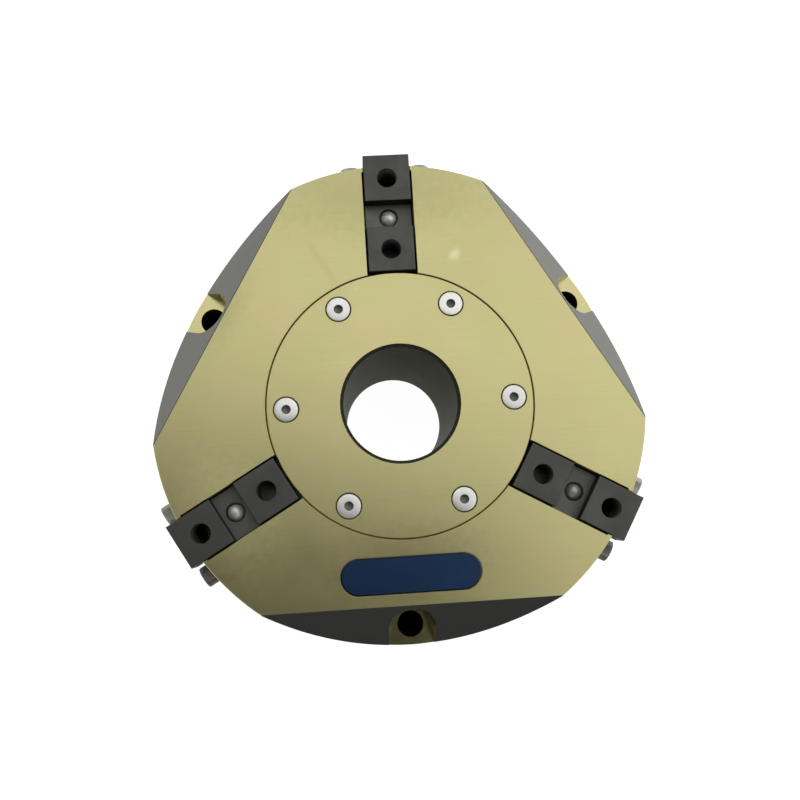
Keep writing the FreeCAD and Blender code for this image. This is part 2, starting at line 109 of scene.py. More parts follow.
def colour(name, description, default):
    return FloatVectorProperty(
        name=name, description=description, default=default, size=3, min=0.0, max=1.0, subtype="COLOR"
    )


class BodySizes(bpy.types.PropertyGroup):
    radius: length("Radius", "Outer radius of the body", BODY_R)
    height: length("Height", "From the mounting face to the top face", BODY_H)
    rim: length("Rim chamfer", "Chamfer of the top face's edges", 0.14 * MM)
    base_rim: length("Base chamfer", "Chamfer of the mounting face's outline", 0.6 * MM)
    flank_inset: length("Flank inset", "How far a flank's upper edge lies inside the radius", 12.25 * MM)
    flank_lean: angle("Flank lean", "Lean of a flank from the vertical", 28.6)
    pocket_radius: length("Pocket radius", "Round end of a screw pocket", 6.0 * MM)
    pocket_depth: length("Pocket depth", "From the top face to a pocket's floor", 22.5 * MM)
    hole_radius: length("Hole radius", "Mounting holes in the pockets", 3.5 * MM)
    hole_inset: length("Hole inset", "From the outer radius to a mounting hole's axis", 5.5 * MM)
    guide_depth: length("Guide depth", "From the top face to a jaw guide's floor", 25.0 * MM)
    guide_neck: length("Guide neck", "Width of a guide beside the jaw's narrow part", 12.8 * MM)
    guide_mouth: length("Guide mouth", "Width of a guide's narrow part at its outer end", 12.08 * MM)
    guide_flange: length("Guide flange", "Width of a guide beside the jaw's flange", 20.1 * MM)
    flange_roof: length("Flange roof", "Height where the guide's wide part ends", 44.0 * MM)
    port_radius: length("Port radius", "Tapped air ports", 2.1 * MM)


class CoverSizes(bpy.types.PropertyGroup):
    radius: length("Radius", "Outer radius of the top cover", COVER_R)
    seat: length("Seat", "Height of the cover's underside", COVER_SEAT)
    bore: length("Bore", "Radius of the through bore", 14.5 * MM)
    bore_rim: length("Bore chamfer", "Chamfer of the bore's upper rim", 0.8 * MM)
    rim: length("Rim chamfer", "Chamfer of the top cover's edge", 0.25 * MM)
    joint: length("Joint", "Gap around the top cover", 0.18 * MM)
    screw_circle: length("Screw circle", "Radius of the cover screws' circle", 28.85 * MM)
    wall: length("Sleeve wall", "Wall of the centre sleeve", 2.0 * MM)
    foot_radius: length("Sleeve foot", "Radius of the centre sleeve's foot", 20.0 * MM)
    foot_height: length("Foot height", "Height of the centre sleeve's foot", 2.2 * MM)
    base_screw_circle: length("Base screws", "Radius of the lower cover screws' circle", 47.5 * MM)


class JawSizes(bpy.types.PropertyGroup):
    width: length("Width", "Width of a jaw's pads", 12.0 * MM)
    proud: length("Proud", "How far the pads stand over the top face", 0.5 * MM)
    inner: length("Inner end", "Radius of the jaws' inner ends", 34.3 * MM)
    outer: length("Outer end", "Radius of the jaws' outer ends", 65.3 * MM)
    slot_start: length("Slot start", "Radius where the cross slot starts", 46.0 * MM)
    slot_width: length("Slot width", "Width of the cross slot", 7.0 * MM)
    slot_depth: length("Slot depth", "Depth of the cross slot", 4.0 * MM)
    core: length("Thread core", "Core radius of the tapped holes", 2.5 * MM)
    major: length("Thread major", "Outer radius of the thread's grooves", 2.95 * MM)
    pitch: length("Thread pitch", "Pitch of the tapped holes", 1.0 * MM)
    thread_depth: length("Thread depth", "Depth of the inner tapped hole", 10.0 * MM)
    thread_spacing: length("Thread spacing", "Between a jaw's two tapped holes", 19.0 * MM)
    edge: length("Edge", "Chamfer of the jaws' edges", 0.2 * MM)


class DetentSizes(bpy.types.PropertyGroup):
    radius: length("Sleeve radius", "Outer radius of a plunger sleeve", 2.5 * MM)
    lip: length("Lip radius", "Opening of the rolled lip", 2.12 * MM)
    floor: length("Floor", "Height of a sleeve's underside", 46.5 * MM)
    top: length("Top", "Height of a sleeve's lip", 54.4 * MM)
    ball: length("Ball radius", "Radius of a detent ball", 2.2 * MM)
    ball_height: length("Ball height", "Height of a ball's centre", 53.1 * MM)
    wire: length("Wire radius", "Radius of the spring's wire", 0.28 * MM)
    coil: length("Coil radius", "Middle radius of the spring", 1.4 * MM)
    turns: IntProperty(name="Turns", description="Turns of the spring", default=5, min=1)
    press: length("Travel", "How far a ball can be pressed", 0.7 * MM)


class PlateSizes(bpy.types.PropertyGroup):
    seat: length("Seat", "Radius of the plates' inner faces", 61.3 * MM)
    thickness: length("Thickness", "Thickness of an end plate", 1.5 * MM)
    width: length("Width", "Width of an end plate", 24.0 * MM)
    low: length("Lower edge", "Height of a plate's lower edge", 31.5 * MM)
    high: length("Upper edge", "Height of a plate's upper edge", 50.0 * MM)
    corner: length("Corner", "Rounding of a plate's corners", 0.8 * MM)
    screw_spread: length("Screw spread", "Between a plate's two screws", 18.4 * MM)
    screw_height: length("Screw height", "Height of the plates' screws", 47.0 * MM)


class ScrewSizes(bpy.types.PropertyGroup):
    shank: length("Shank", "Shank radius", 1.5 * MM)
    clear: length("Clearance", "Radius of a clearance hole", 1.7 * MM)
    flat_head: length("Flat head", "Radius of a countersunk head", 3.0 * MM)
    seat_gap: length("Seat gap", "From a countersunk head to the mouth of its seat", 0.38 * MM)
    flat_rim: length("Flat rim", "Straight rim of a countersunk head", 0.2 * MM)
    flat_hex: length("Flat socket", "Across the flats of a countersunk screw's socket", 2.0 * MM)
    cap_head: length("Cap head", "Radius of a cap head", 2.75 * MM)
    cap_height: length("Cap height", "Height of a cap head", 3.0 * MM)
    cap_hex: length("Cap socket", "Across the flats of a cap screw's socket", 2.5 * MM)
    pitch: length("Pitch", "Thread pitch", 0.5 * MM)


class BadgeSizes(bpy.types.PropertyGroup):
    length: length("Length", "Length of the blank badge", 35.0 * MM)
    width: length("Width", "Width of the blank badge", 9.2 * MM)
    radius: length("Place", "Distance of the badge's middle from the axis", 42.6 * MM)
    recess: length("Recess", "Depth of the badge's recess", 0.4 * MM)
    gap: length("Gap", "Gap around the badge", 0.22 * MM)
    thickness: length("Thickness", "Thickness of the badge", 0.5 * MM)
    border: length("Border", "Width of the badge's raised border", 0.35 * MM)


class Finishes(bpy.types.PropertyGroup):
    gold: colour("Anodised gold", "Anodised faces of the body and cover", (0.555, 0.52, 0.25))
    gold_deep: colour("Deep gold", "Darker patches of the anodised faces", (0.485, 0.455, 0.21))
    flank: colour("Flank", "Blasted flanks", (0.57, 0.57, 0.53))
    oxide: colour("Black oxide", "Jaws and end plates", (0.108, 0.11, 0.1))
    bore: colour("Bore", "Hard anodised wall of the bore", (0.08, 0.082, 0.07))
    steel: colour("Bright steel", "Cover screws and springs", (0.98, 0.97, 0.91))
    cap: colour("Cap screw steel", "Screws of the end plates", (0.56, 0.54, 0.47))
    ball: colour("Ball steel", "Satin balls", (0.88, 0.88, 0.83))
    alloy: colour("Bare alloy", "Piston and lower cover", (0.5, 0.5, 0.5))
    rubber: colour("Rubber", "Seals", (0.018, 0.018, 0.019))
    badge: colour("Badge", "Field of the blank badge", (0.007, 0.034, 0.1))
    gold_gloss: share("Anodised roughness", "Roughness of the anodised faces", 0.32)
    oxide_gloss: share("Oxide roughness", "Roughness of the jaws", 0.42)


class GripperSettings(bpy.types.PropertyGroup):
    body: PointerProperty(type=BodySizes)
    cover: PointerProperty(type=CoverSizes)
    jaw: PointerProperty(type=JawSizes)
    detent: PointerProperty(type=DetentSizes)
    plate: PointerProperty(type=PlateSizes)
    screw: PointerProperty(type=ScrewSizes)
    badge: PointerProperty(type=BadgeSizes)
    finish: PointerProperty(type=Finishes)


# Modelling with Blender's own tools


def leave():
    bpy.ops.object.mode_set(mode="OBJECT")


def start():
    """Closes edit mode and deselects everything."""
    if bpy.context.object and bpy.context.object.mode != "OBJECT":
        leave()
    bpy.ops.object.select_all(action="DESELECT")


def focus(piece):
    start()
    piece.select_set(True)
    bpy.context.view_layer.objects.active = piece


def edit(piece, kind=None, action="SELECT"):
    """Opens a piece in edit mode with all or nothing selected."""
    focus(piece)
    bpy.ops.object.mode_set(mode="EDIT")
    if kind:
        bpy.ops.mesh.select_mode(type=kind)
    bpy.ops.mesh.select_all(action=action)


def weld(threshold=WELD):
    bpy.ops.mesh.select_all(action="SELECT")
    bpy.ops.mesh.remove_doubles(threshold=threshold)


def closed(piece):
    """Turns all normals outward and leaves edit mode."""
    bpy.ops.mesh.select_all(action="SELECT")
    bpy.ops.mesh.normals_make_consistent(inside=False)
    leave()
    return piece


def settled(name):
    """Names the new primitive and moves its place into its mesh."""
    piece = bpy.context.object
    piece.name = piece.data.name = name
    bpy.ops.object.transform_apply(location=True, rotation=True, scale=True)
    return piece


def block(name, low, high):
    low, high = Vector(low), Vector(high)
    start()
    bpy.ops.mesh.primitive_cube_add(size=1, location=(low + high) / 2)
    bpy.context.object.scale = high - low
    return settled(name)


def peg(name, radius, low, high, at=(0.0, 0.0), sides=64):
    """Upright cylinder."""
    start()
    bpy.ops.mesh.primitive_cylinder_add(
        vertices=sides, radius=radius, depth=high - low, location=(*at, (low + high) / 2)
    )
    return settled(name)


def side_peg(name, radius, r_in, r_out, height, offset=0.0, sides=48):
    """Cylinder along the radius."""
    start()
    bpy.ops.mesh.primitive_cylinder_add(
        vertices=sides,
        radius=radius,
        depth=r_out - r_in,
        location=((r_in + r_out) / 2, offset, height),
        rotation=(0, math.pi / 2, 0),
    )
    return settled(name)


def outline(name, profile, ring=True):
    """Draws (radius, height) points by extruding one vertex, and stays in edit mode."""
    start()
    bpy.ops.mesh.primitive_plane_add(size=MM, location=(profile[0][0], 0, profile[0][1]))
    piece = settled(name)
    edit(piece, "VERT")
    bpy.ops.mesh.merge(type="CENTER")
    ends = profile[1:] + profile[:1] if ring else profile[1:]
    for (r0, z0), (r1, z1) in zip(profile, ends):
        bpy.ops.mesh.extrude_vertices_move(
            TRANSFORM_OT_translate={"value": (r1 - r0, 0, z1 - z0)}
        )
    weld()
    return piece


def turned(name, profile, steps=SIDES):
    """Spins a profile about Z. One that starts on the axis stays open there."""
    piece = outline(name, profile, ring=profile[0][0] > 0)
    bpy.ops.mesh.spin(steps=steps, angle=2 * math.pi, center=(0, 0, 0), axis=(0, 0, 1))
    weld()
    return closed(piece)


def slab(name, profile, width):
    """Extrudes a profile to both sides of the radius."""
    piece = outline(name, profile)
    bpy.ops.mesh.edge_face_add()
    bpy.ops.mesh.extrude_region_move(TRANSFORM_OT_translate={"value": (0, width, 0)})
    return put(closed(piece), Matrix.Translation((0, -width / 2, 0)))


def put(piece, matrix):
    """Moves a piece and applies its place to its mesh."""
    focus(piece)
    piece.matrix_world = matrix
    bpy.ops.object.transform_apply(location=True, rotation=True, scale=True)
    return piece


def turn(deg):
    return Matrix.Rotation(math.radians(deg), 4, "Z")


def moved(x=0.0, y=0.0, z=0.0):
    return Matrix.Translation((x, y, z))


def copied(piece, name, matrix):
    """A copy with its own mesh, moved to its place."""
    focus(piece)
    bpy.ops.object.duplicate(linked=False)
    copy = bpy.context.object
    copy.name = copy.data.name = name
    return put(copy, matrix)


def removed(*pieces):
    for piece in pieces:
        bpy.data.meshes.remove(piece.data)


def joined(name, pieces):
    focus(pieces[0])
    for piece in pieces:
        piece.select_set(True)
    bpy.ops.object.join()
    bpy.context.object.name = bpy.context.object.data.name = name
    return bpy.context.object


def combined(piece, tools, operation="DIFFERENCE"):
    """Cuts the tools from a piece, or fuses them with it, and removes them."""
    for tool in tools:
        focus(piece)
        change = piece.modifiers.new(operation.title(), "BOOLEAN")
        change.object = tool
        change.operation = operation
        change.solver = "EXACT"
        bpy.ops.object.modifier_apply(modifier=change.name)
        removed(tool)
    return piece


def cleaned(piece):
    """Merges what the cuts left and dissolves edges within flat faces."""
    edit(piece)
    weld(2 * WELD)
    bpy.ops.mesh.dissolve_limited(angle_limit=math.radians(0.4))
    return closed(piece)


def pick(piece, kind, test):
    """Opens a piece in edit mode with the vertices, edges or faces selected that pass the test."""
    edit(piece, kind, "DESELECT")
    mesh = bmesh.from_edit_mesh(piece.data)
    for part in {"VERT": mesh.verts, "EDGE": mesh.edges, "FACE": mesh.faces}[kind]:
        if test(part):
            part.select_set(True)
    bmesh.update_edit_mesh(piece.data)


def pick_sharp(piece, test, fold=20.0):
    """Picks the edges sharper than a fold, in degrees, whose both ends pass the test."""

    def sharp(edge):
        folded = len(edge.link_faces) == 2 and edge.calc_face_angle(0.0) > math.radians(fold)
        return folded and all(test(corner.co) for corner in edge.verts)

    pick(piece, "EDGE", sharp)


def bevelled(piece, test, width, segments=2, fold=20.0):
    pick_sharp(piece, test, fold)
    bpy.ops.mesh.bevel(
        offset=width, segments=segments, profile=0.5, affect="EDGES", clamp_overlap=False
    )
    leave()
    return piece


def smoothed(piece, fold=30.0):
    """Smooth shading up to a fold, with flat faces kept flat."""
    focus(piece)
    bpy.ops.object.shade_smooth_by_angle(angle=math.radians(fold))
    weights = piece.modifiers.new("Weights", "WEIGHTED_NORMAL")
    weights.keep_sharp = True
    weights.weight = 100
    bpy.ops.object.modifier_apply(modifier=weights.name)
    return piece


def helix(name, profile, pitch, turns, steps=24):
    """Closed profile swept along a screw line about Z."""
    piece = outline(name, profile)
    leave()
    sweep = piece.modifiers.new("Sweep", "SCREW")
    sweep.axis = "Z"
    sweep.angle = 2 * math.pi
    sweep.screw_offset = pitch
    sweep.iterations = turns
    sweep.steps = sweep.render_steps = steps
    focus(piece)
    bpy.ops.object.modifier_apply(modifier=sweep.name)
    edit(piece)
    weld()
    bpy.ops.mesh.select_all(action="SELECT")
    bpy.ops.mesh.fill_holes(sides=0)
    return closed(piece)


# Pieces along +X or on the axis, before they are turned to their place


def hex_socket(across, low, high):
    """Cutters for a hexagon socket with a drilled cone at its bottom and a chamfered mouth."""
    corner, drilled, above = across / math.sqrt(3), across * 0.47, high + OVERCUT
    socket = peg("socket", corner, low, above, sides=6)
    roof = low + 0.1 * MM
    cone = turned(
        "cone", [(0, low - drilled * 0.55), (drilled, low - HAIR), (drilled, roof), (0, roof)], 32
    )
    wide = corner * 1.04
    mouth = turned("mouth", [(0, high - wide), (wide, high + HAIR), (wide, above), (0, above)], 48)
    return [socket, cone, mouth]


def ridge(crest, root, pitch, turns, steps):
    """A thread's ridge that starts at zero."""
    flank = pitch * 0.46
    return helix("ridge", [(root, -flank), (crest, 0), (root, flank)], pitch, turns, steps)


def threaded(screw, sizes, core, total, turns):
    """Adds a thread's ridge to a shank that reaches down to -total."""
    sunk = 0.02 * MM
    made = ridge(sizes.shank - sunk, core - sunk, sizes.pitch, turns, 20)
    put(made, moved(z=0.4 * MM - total + sizes.pitch * 0.46))
    return joined(screw.name, [screw, made])


def flat_head_screw(name, sizes, total):
    """Countersunk screw, head up, with its head's top at zero."""
    head, shank, rim = sizes.flat_head, sizes.shank, sizes.flat_rim
    core = shank - 0.28 * MM
    soft = 0.14 * MM
    neck = -rim - head + shank
    profile = [
        (0, 0), (head - 2 * soft, 0), (head - 0.6 * soft, -0.3 * soft), (head, -soft), (head, -rim),
        (shank, neck), (shank, neck - 0.6 * MM), (core, neck - 0.9 * MM),
        (core, 0.3 * MM - total), (core - 0.3 * MM, -total), (0, -total),
    ]
    screw = combined(turned(name, profile, 72), hex_socket(sizes.flat_hex, -1.4 * MM, 0))
    turns = int((total - rim - head + shank - 1.3 * MM) / sizes.pitch)
    return smoothed(threaded(screw, sizes, core, total, turns))


def cap_screw(name, sizes, total):
    """Knurled cap screw, head up, with its seat at zero."""
    head, high, shank = sizes.cap_head, sizes.cap_height, sizes.shank
    core = shank - 0.28 * MM
    knurls = 96
    screw = peg(name, head, 0, high, sides=knurls)

    def in_groove(corner):
        return round(math.atan2(corner.co.y, corner.co.x) / (2 * math.pi) * knurls) % 2

    pick(screw, "VERT", in_groove)
    bpy.ops.transform.resize(value=(0.955, 0.955, 1), center_override=(0, 0, 0))
    leave()
    rim = head * 0.9
    bevelled(screw, lambda p: p.z > high - WELD and p.xy.length > rim, 0.28 * MM, 2, 60)
    bevelled(screw, lambda p: p.z < WELD and p.xy.length > rim, 0.12 * MM, 1, 60)
    combined(screw, hex_socket(sizes.cap_hex, high - 1.4 * MM, high))
    rise = 0.3 * MM
    profile = [(0, rise), (core, rise), (core, rise - total), (core - 0.3 * MM, -total), (0, -total)]
    turns = int((total - 1.2 * MM) / sizes.pitch)
    stem = threaded(turned("stem", profile, 48), sizes, core, total, turns)
    return smoothed(joined(name, [screw, stem]), 25)


def flat_head_seat(sizes, depth, height, r, flip=1):
    """Cutter for a countersunk clearance hole at radius r, which opens downward where flip is -1."""
    head, clear, gap = sizes.flat_head, sizes.clear, sizes.seat_gap
    profile = [
        (0, OVERCUT), (head + gap, OVERCUT), (head + gap, 0), (head + 0.04 * MM, -gap * 1.3),
        (clear, -gap * 1.3 - head + clear), (clear, -depth - OVERCUT), (0, -depth - OVERCUT),
    ]
    seat = put(turned("seat", profile, 72), moved(r, 0, height) @ Matrix.Diagonal((1, 1, flip, 1)))
    if flip < 0:
        edit(seat)
        closed(seat)
    return seat


def around(tool, degs):
    """Copies of the tool, turned about the axis, in its place."""
    copies = [copied(tool, f"{tool.name}_{n}", turn(deg)) for n, deg in enumerate(degs)]
    removed(tool)
    return copies


def stadium(name, badge, grow, low, high):
    """Round-ended plate across the radius, from a cylinder whose halves are pulled apart."""
    piece = peg(name, badge.width / 2 + grow, low, high, at=(badge.radius, 0), sides=94)
    pull = (badge.length - badge.width) / 2
    for side in (-1, 1):
        pick(piece, "VERT", lambda corner: corner.co.y * side > WELD)
        bpy.ops.transform.translate(value=(0, side * pull, 0))
    leave()
    return piece


# Shader nodes


def node(tree, kind, inputs=None, **settings):
    """Adds a node, sets its options, and links or fills its inputs."""
    made = tree.nodes.new(kind)
    for key, value in settings.items():
        setattr(made, key, value)
    for key, value in (inputs or {}).items():
        if isinstance(value, bpy.types.NodeSocket):
            tree.links.new(value, made.inputs[key])
        else:
            made.inputs[key].default_value = value
    return made


def maths(tree, operation, *values, clamp=False):
    inputs = dict(enumerate(values))
    return node(tree, "ShaderNodeMath", inputs, operation=operation, use_clamp=clamp).outputs[0]


def vector_maths(tree, operation, *values, output=0):
    return node(
        tree, "ShaderNodeVectorMath", dict(enumerate(values)), operation=operation
    ).outputs[output]


def ramp(tree, value, low, high, bottom=0.0, top=1.0, kind="LINEAR"):
    """Turns a value between low and high into one between bottom and top."""
    inputs = {"Value": value, "From Min": low, "From Max": high, "To Min": bottom, "To Max": top}
    return node(tree, "ShaderNodeMapRange", inputs, interpolation_type=kind).outputs["Result"]


def ranged(tree, mask, bottom, top):
    return ramp(tree, mask, 0.0, 1.0, bottom, top)


def object_place(tree):
    return node(tree, "ShaderNodeTexCoord").outputs["Object"]


def noise(tree, place, scale, detail, roughness=0.5, distortion=0.0):
    inputs = {"Vector": place, "Scale": scale, "Detail": detail}
    inputs.update({"Roughness": roughness, "Distortion": distortion})
    return node(tree, "ShaderNodeTexNoise", inputs).outputs["Fac"]


def blend(tree, mask, first, second):
    """Mixes two colours, or sockets that give one, by a mask."""
    inputs = {"Factor": mask}
    for key, value in ((6, first), (7, second)):
        socket = isinstance(value, bpy.types.NodeSocket)
        inputs[key] = value if socket else (*value[:3], 1.0)
    return node(tree, "ShaderNodeMix", inputs, data_type="RGBA").outputs[2]


def tint(value, *factors):
    """A colour times one factor, or times one for each of its parts."""
    return tuple(min(1.0, part * factor) for part, factor in zip(value[:3], factors * 3))


# Node groups that several materials share


def group_tree(name, output, inputs):
    """A new group with named inputs and one output, and the sockets of both inside it."""
    tree = bpy.data.node_groups.new(name, "ShaderNodeTree")
    for label, default in inputs.items():
        kind = "NodeSocketVector" if isinstance(default, tuple) else "NodeSocketFloat"
        socket = tree.interface.new_socket(name=label, in_out="INPUT", socket_type=kind)
        socket.default_value = default
    tree.interface.new_socket(name=output, in_out="OUTPUT", socket_type="NodeSocketFloat")
    taken, given = tree.nodes.new("NodeGroupInput"), tree.nodes.new("NodeGroupOutput")
    return tree, taken.outputs, given.inputs[0]


def grain_group(name):
    """Fine tool lines. Stretch gives how many go to a metre along each axis."""
    tree, taken, given = group_tree(name, "Lines", {"Stretch": (40, 3000, 3000), "Contrast": 1.0})
    scaled = vector_maths(tree, "MULTIPLY", object_place(tree), taken["Stretch"])
    centred = maths(tree, "SUBTRACT", noise(tree, scaled, 1.0, 3.0, 0.7), 0.5)
    strong = maths(tree, "MULTIPLY_ADD", centred, taken["Contrast"], 0.5, clamp=True)
    tree.links.new(strong, given)
    return tree


def patch_group(name):
    """Soft patches, such as smudges and small differences of a coating."""
    tree, taken, given = group_tree(name, "Patches", {"Scale": 60.0, "Low": 0.4, "High": 0.7})
    cloud = noise(tree, object_place(tree), taken["Scale"], 4.0, 0.6, 0.4)
    tree.links.new(ramp(tree, cloud, taken["Low"], taken["High"], kind="SMOOTHSTEP"), given)
    return tree


def wear_group(name):
    """Edges where a coating has rubbed thin, broken up by noise."""
    tree, taken, given = group_tree(name, "Wear", {"Width": 0.25 * MM, "Amount": 0.5})
    rounded = node(tree, "ShaderNodeBevel", {"Radius": taken["Width"]}, samples=6).outputs[0]
    plain = node(tree, "ShaderNodeNewGeometry").outputs["Normal"]
    edge = ramp(tree, vector_maths(tree, "DOT_PRODUCT", rounded, plain, output="Value"), 0.995, 0.8)
    broken = ramp(tree, noise(tree, object_place(tree), 900.0, 3.0), 0.35, 0.65)
    worn = maths(tree, "MULTIPLY", edge, broken)
    tree.links.new(maths(tree, "MULTIPLY", worn, taken["Amount"], clamp=True), given)
    return tree


def mark_group(name):
    """Soft, ragged spot with a place, turn and size, such as a patch of painted shade or light, a smudge
    or a scratch.
    """
    sizes = {"Place": (0, 0, 0), "Turn": (0, 0, 0), "Size": (1, 1, 1)}
    tree, taken, given = group_tree(name, "Mark", sizes)
    place = object_place(tree)
    inputs = {"Vector": place, "Location": taken["Place"]}
    inputs.update({"Rotation": taken["Turn"], "Scale": taken["Size"]})
    local = node(tree, "ShaderNodeMapping", inputs, vector_type="TEXTURE").outputs[0]
    away = vector_maths(tree, "LENGTH", local, output="Value")
    ragged = maths(tree, "MULTIPLY_ADD", noise(tree, place, 450.0, 3.0), 0.9, away)
    tree.links.new(ramp(tree, ragged, 1.6, 0.5, kind="SMOOTHSTEP"), given)
    return tree


def use_group(tree, name, build, **inputs):
    """Places a shared group in a material, built on its first use, and returns its output."""
    group = bpy.data.node_groups.get(name) or build(name)
    return node(tree, "ShaderNodeGroup", inputs, node_tree=group).outputs[0]


def lines(tree, stretch, contrast=1.0):
    return use_group(tree, "Tool lines", grain_group, Stretch=stretch, Contrast=contrast)


def patches(tree, scale, low=0.4, high=0.7):
    return use_group(tree, "Patches", patch_group, Scale=scale, Low=low, High=high)


def wear(tree, width, amount):
    return use_group(tree, "Edge wear", wear_group, Width=width, Amount=amount)


def mark(tree, x, y, deg, long, wide):
    """A mark on the top face, in millimetres and degrees."""
    sizes = {
        "Place": (x * MM, y * MM, BODY_H),
        "Turn": (0, 0, math.radians(deg)),
        "Size": (long * MM, wide * MM, MM),
    }
    return use_group(tree, "Mark", mark_group, **sizes)


# Materials

# Marks on the top face: place, turn and size for mark(), strength, and what they do to the gold
# The first four are painted shade and, in the second, a painted patch of light, where light and
# reflections fall unevenly on the gold; the last two are a scratch and a pale smudge.
SHADES_AND_MARKS = (
    ((0.0, -39.0, 3.0, 24.0, 12.0), 0.4, (0.45,)),
    ((-44.0, -26.0, -60.0, 20.0, 14.0), 0.4, (1.6,)),
    ((-3.0, 55.0, 0.0, 36.0, 14.0), 0.3, (0.45,)),
    ((-43.0, 26.0, 60.0, 15.0, 6.0), 0.25, (0.45,)),
    ((-18.3, 38.0, -58.0, 9.0, 1.2), 1.0, (0.96, 0.88, 0.89)),
    ((16.2, 38.0, 50.0, 2.6, 1.8), 1.0, (1.2, 1.22, 1.5)),
)


def coated(tree, value, base, *layers):
    """Lays tints of a colour over a base. A layer is its mask and the factors of its tint."""
    for mask, *factors in layers:
        base = blend(tree, mask, base, tint(value, *factors))
    return base


def new_material(name, metallic, inputs=None):
    """A material, its tree and its shader, with uniform values set on the shader."""
    material = bpy.data.materials.new(name)
    material.use_nodes = True
    tree = material.node_tree
    shader = tree.nodes["Principled BSDF"]
    for key, value in {"Metallic": metallic, **(inputs or {})}.items():
        shader.inputs[key].default_value = value
    return material, tree, shader


def finished(made, base, rough=None, height=None, distance=0.004 * MM, strength=0.5):
    """Links a colour, a roughness and a bump to a new material's shader."""
    material, tree, shader = made
    tree.links.new(base, shader.inputs["Base Color"])
    if rough:
        tree.links.new(rough, shader.inputs["Roughness"])
    if height:
        inputs = {"Height": height, "Distance": distance, "Strength": strength}
        bump = node(tree, "ShaderNodeBump", inputs)
        tree.links.new(bump.outputs["Normal"], shader.inputs["Normal"])
    return material


def anodised(name, finish, stretch, sheen=0.0, shaded_and_marked=False):
    """Gold anodised alloy with fine tool lines and soft patches, glossier with a sheen; the milled top
    can also carry patches of painted shade and light, a scratch and a smudge.
    """
    made = new_material(name, 1.0)
    tree, gold = made[1], finish.gold
    grain = lines(tree, stretch, 1.6)
    clouded = blend(tree, patches(tree, 28.0, 0.3, 0.75), gold, finish.gold_deep)
    lined = blend(tree, grain, tint(gold, 0.89), tint(gold, 1.09))
    layers = [(patches(tree, 70.0, 0.4, 0.8), 1.02, 0.96, 1.02)]
    layers.append((patches(tree, 120.0, 0.68, 0.8), 1.15))
    # Patches of painted shade and light on the top face, then a scratch and a smudge.
    for spot, strength, factors in SHADES_AND_MARKS if shaded_and_marked else ():
        layers.append((ranged(tree, mark(tree, *spot), 0.0, strength), *factors))
    layers.append((wear(tree, 0.15 * MM, 0.15), 1.2))
    base = coated(tree, gold, blend(tree, 0.5, clouded, lined), *layers)
    gloss = finish.gold_gloss - sheen
    smudged = ranged(tree, patches(tree, 55.0, 0.45, 0.7), gloss, gloss - 0.02)
    return finished(made, base, maths(tree, "ADD", ranged(tree, grain, -0.02, 0.02), smudged), grain)


def machined(name, value, stretch, roughness, metallic=1.0, contrast=1.2):
    """Bare or treated metal with tool lines and worn edges."""
    made = new_material(name, metallic)
    tree = made[1]
    grain, cloud = lines(tree, stretch, contrast), patches(tree, 90.0, 0.4, 0.75)
    worn = wear(tree, 0.2 * MM, 0.5)
    base = coated(tree, value, tint(value, 0.88), (grain, 1.1), (cloud, 0.85), (worn, 1.5))
    return finished(made, base, ranged(tree, cloud, roughness, roughness + 0.08), grain)


def bore_anodised(name, value):
    """Dark hard-anodised wall with turned rings, dull also at a flat angle."""
    made = new_material(name, 1.0, {"Specular Tint": (0.3, 0.3, 0.28, 1)})
    tree = made[1]
    rings, cloud = lines(tree, (20, 20, 2500), 1.2), patches(tree, 90.0, 0.4, 0.75)
    base = coated(tree, value, tint(value, 0.85), (rings, 1.15), (cloud, 1.3))
    return finished(made, base, ranged(tree, rings, 0.34, 0.44), rings, 0.003 * MM, 0.4)


def matte(name, value):
    """Fine blasted grey of the flanks."""
    made = new_material(name, 0.0, {"Specular IOR Level": 0.0})
    tree = made[1]
    grit, cloud = patches(tree, 2600.0, 0.3, 0.7), patches(tree, 45.0, 0.35, 0.75)
    worn = wear(tree, 0.2 * MM, 0.4)
    base = coated(tree, value, value, (cloud, 0.9), (grit, 1.06), (worn, 1.35))
    return finished(made, base, ranged(tree, grit, 0.62, 0.75), grit, 0.006 * MM)


def blackened(name, finish, lighter=1.0):
    """Blackened steel: ground grain, oily smudges and edges rubbed to grey."""
    dull = {"Specular IOR Level": 0.35, "Specular Tint": (0.25, 0.25, 0.24, 1)}
    made = new_material(name, 0.5, dull)
    tree, oxide, gloss = made[1], tint(finish.oxide, lighter), finish.oxide_gloss
    grain, cloud = lines(tree, (900, 2600, 2600), 1.2), patches(tree, 110.0, 0.35, 0.7)
    worn = wear(tree, 0.18 * MM, 0.35)
    base = coated(tree, oxide, tint(oxide, 0.85), (cloud, 1.2), (grain, 1.05), (worn, 3.0))
    return finished(made, base, ranged(tree, cloud, gloss + 0.04, gloss - 0.06), grain)


def satin(name, value):
    """Satin steel with a faint haze, which scatters the light that falls on it."""
    made = new_material(name, 0.45)
    haze = patches(made[1], 700.0, 0.4, 0.8)
    base = coated(made[1], value, value, (haze, 0.9))
    return finished(made, base, ranged(made[1], haze, 0.37, 0.47))


def rubber(name, value):
    made = new_material(name, 0.0)
    grit = patches(made[1], 1500.0, 0.3, 0.7)
    base = coated(made[1], value, value, (grit, 1.8))
    return finished(made, base, ranged(made[1], grit, 0.55, 0.7), grit, 0.01 * MM, 0.4)


def enamel(name, value):
    """Deep metallic field under a clear coat, plain and without any mark."""
    made = new_material(name, 0.6, {"Roughness": 0.35, "Coat Weight": 0.4, "Coat Roughness": 0.12})
    tree = made[1]
    cloud, fleck = patches(tree, 40.0, 0.3, 0.7), lines(tree, (5000,) * 3)
    return finished(made, coated(tree, value, value, (cloud, 1.5), (fleck, 1.3)))


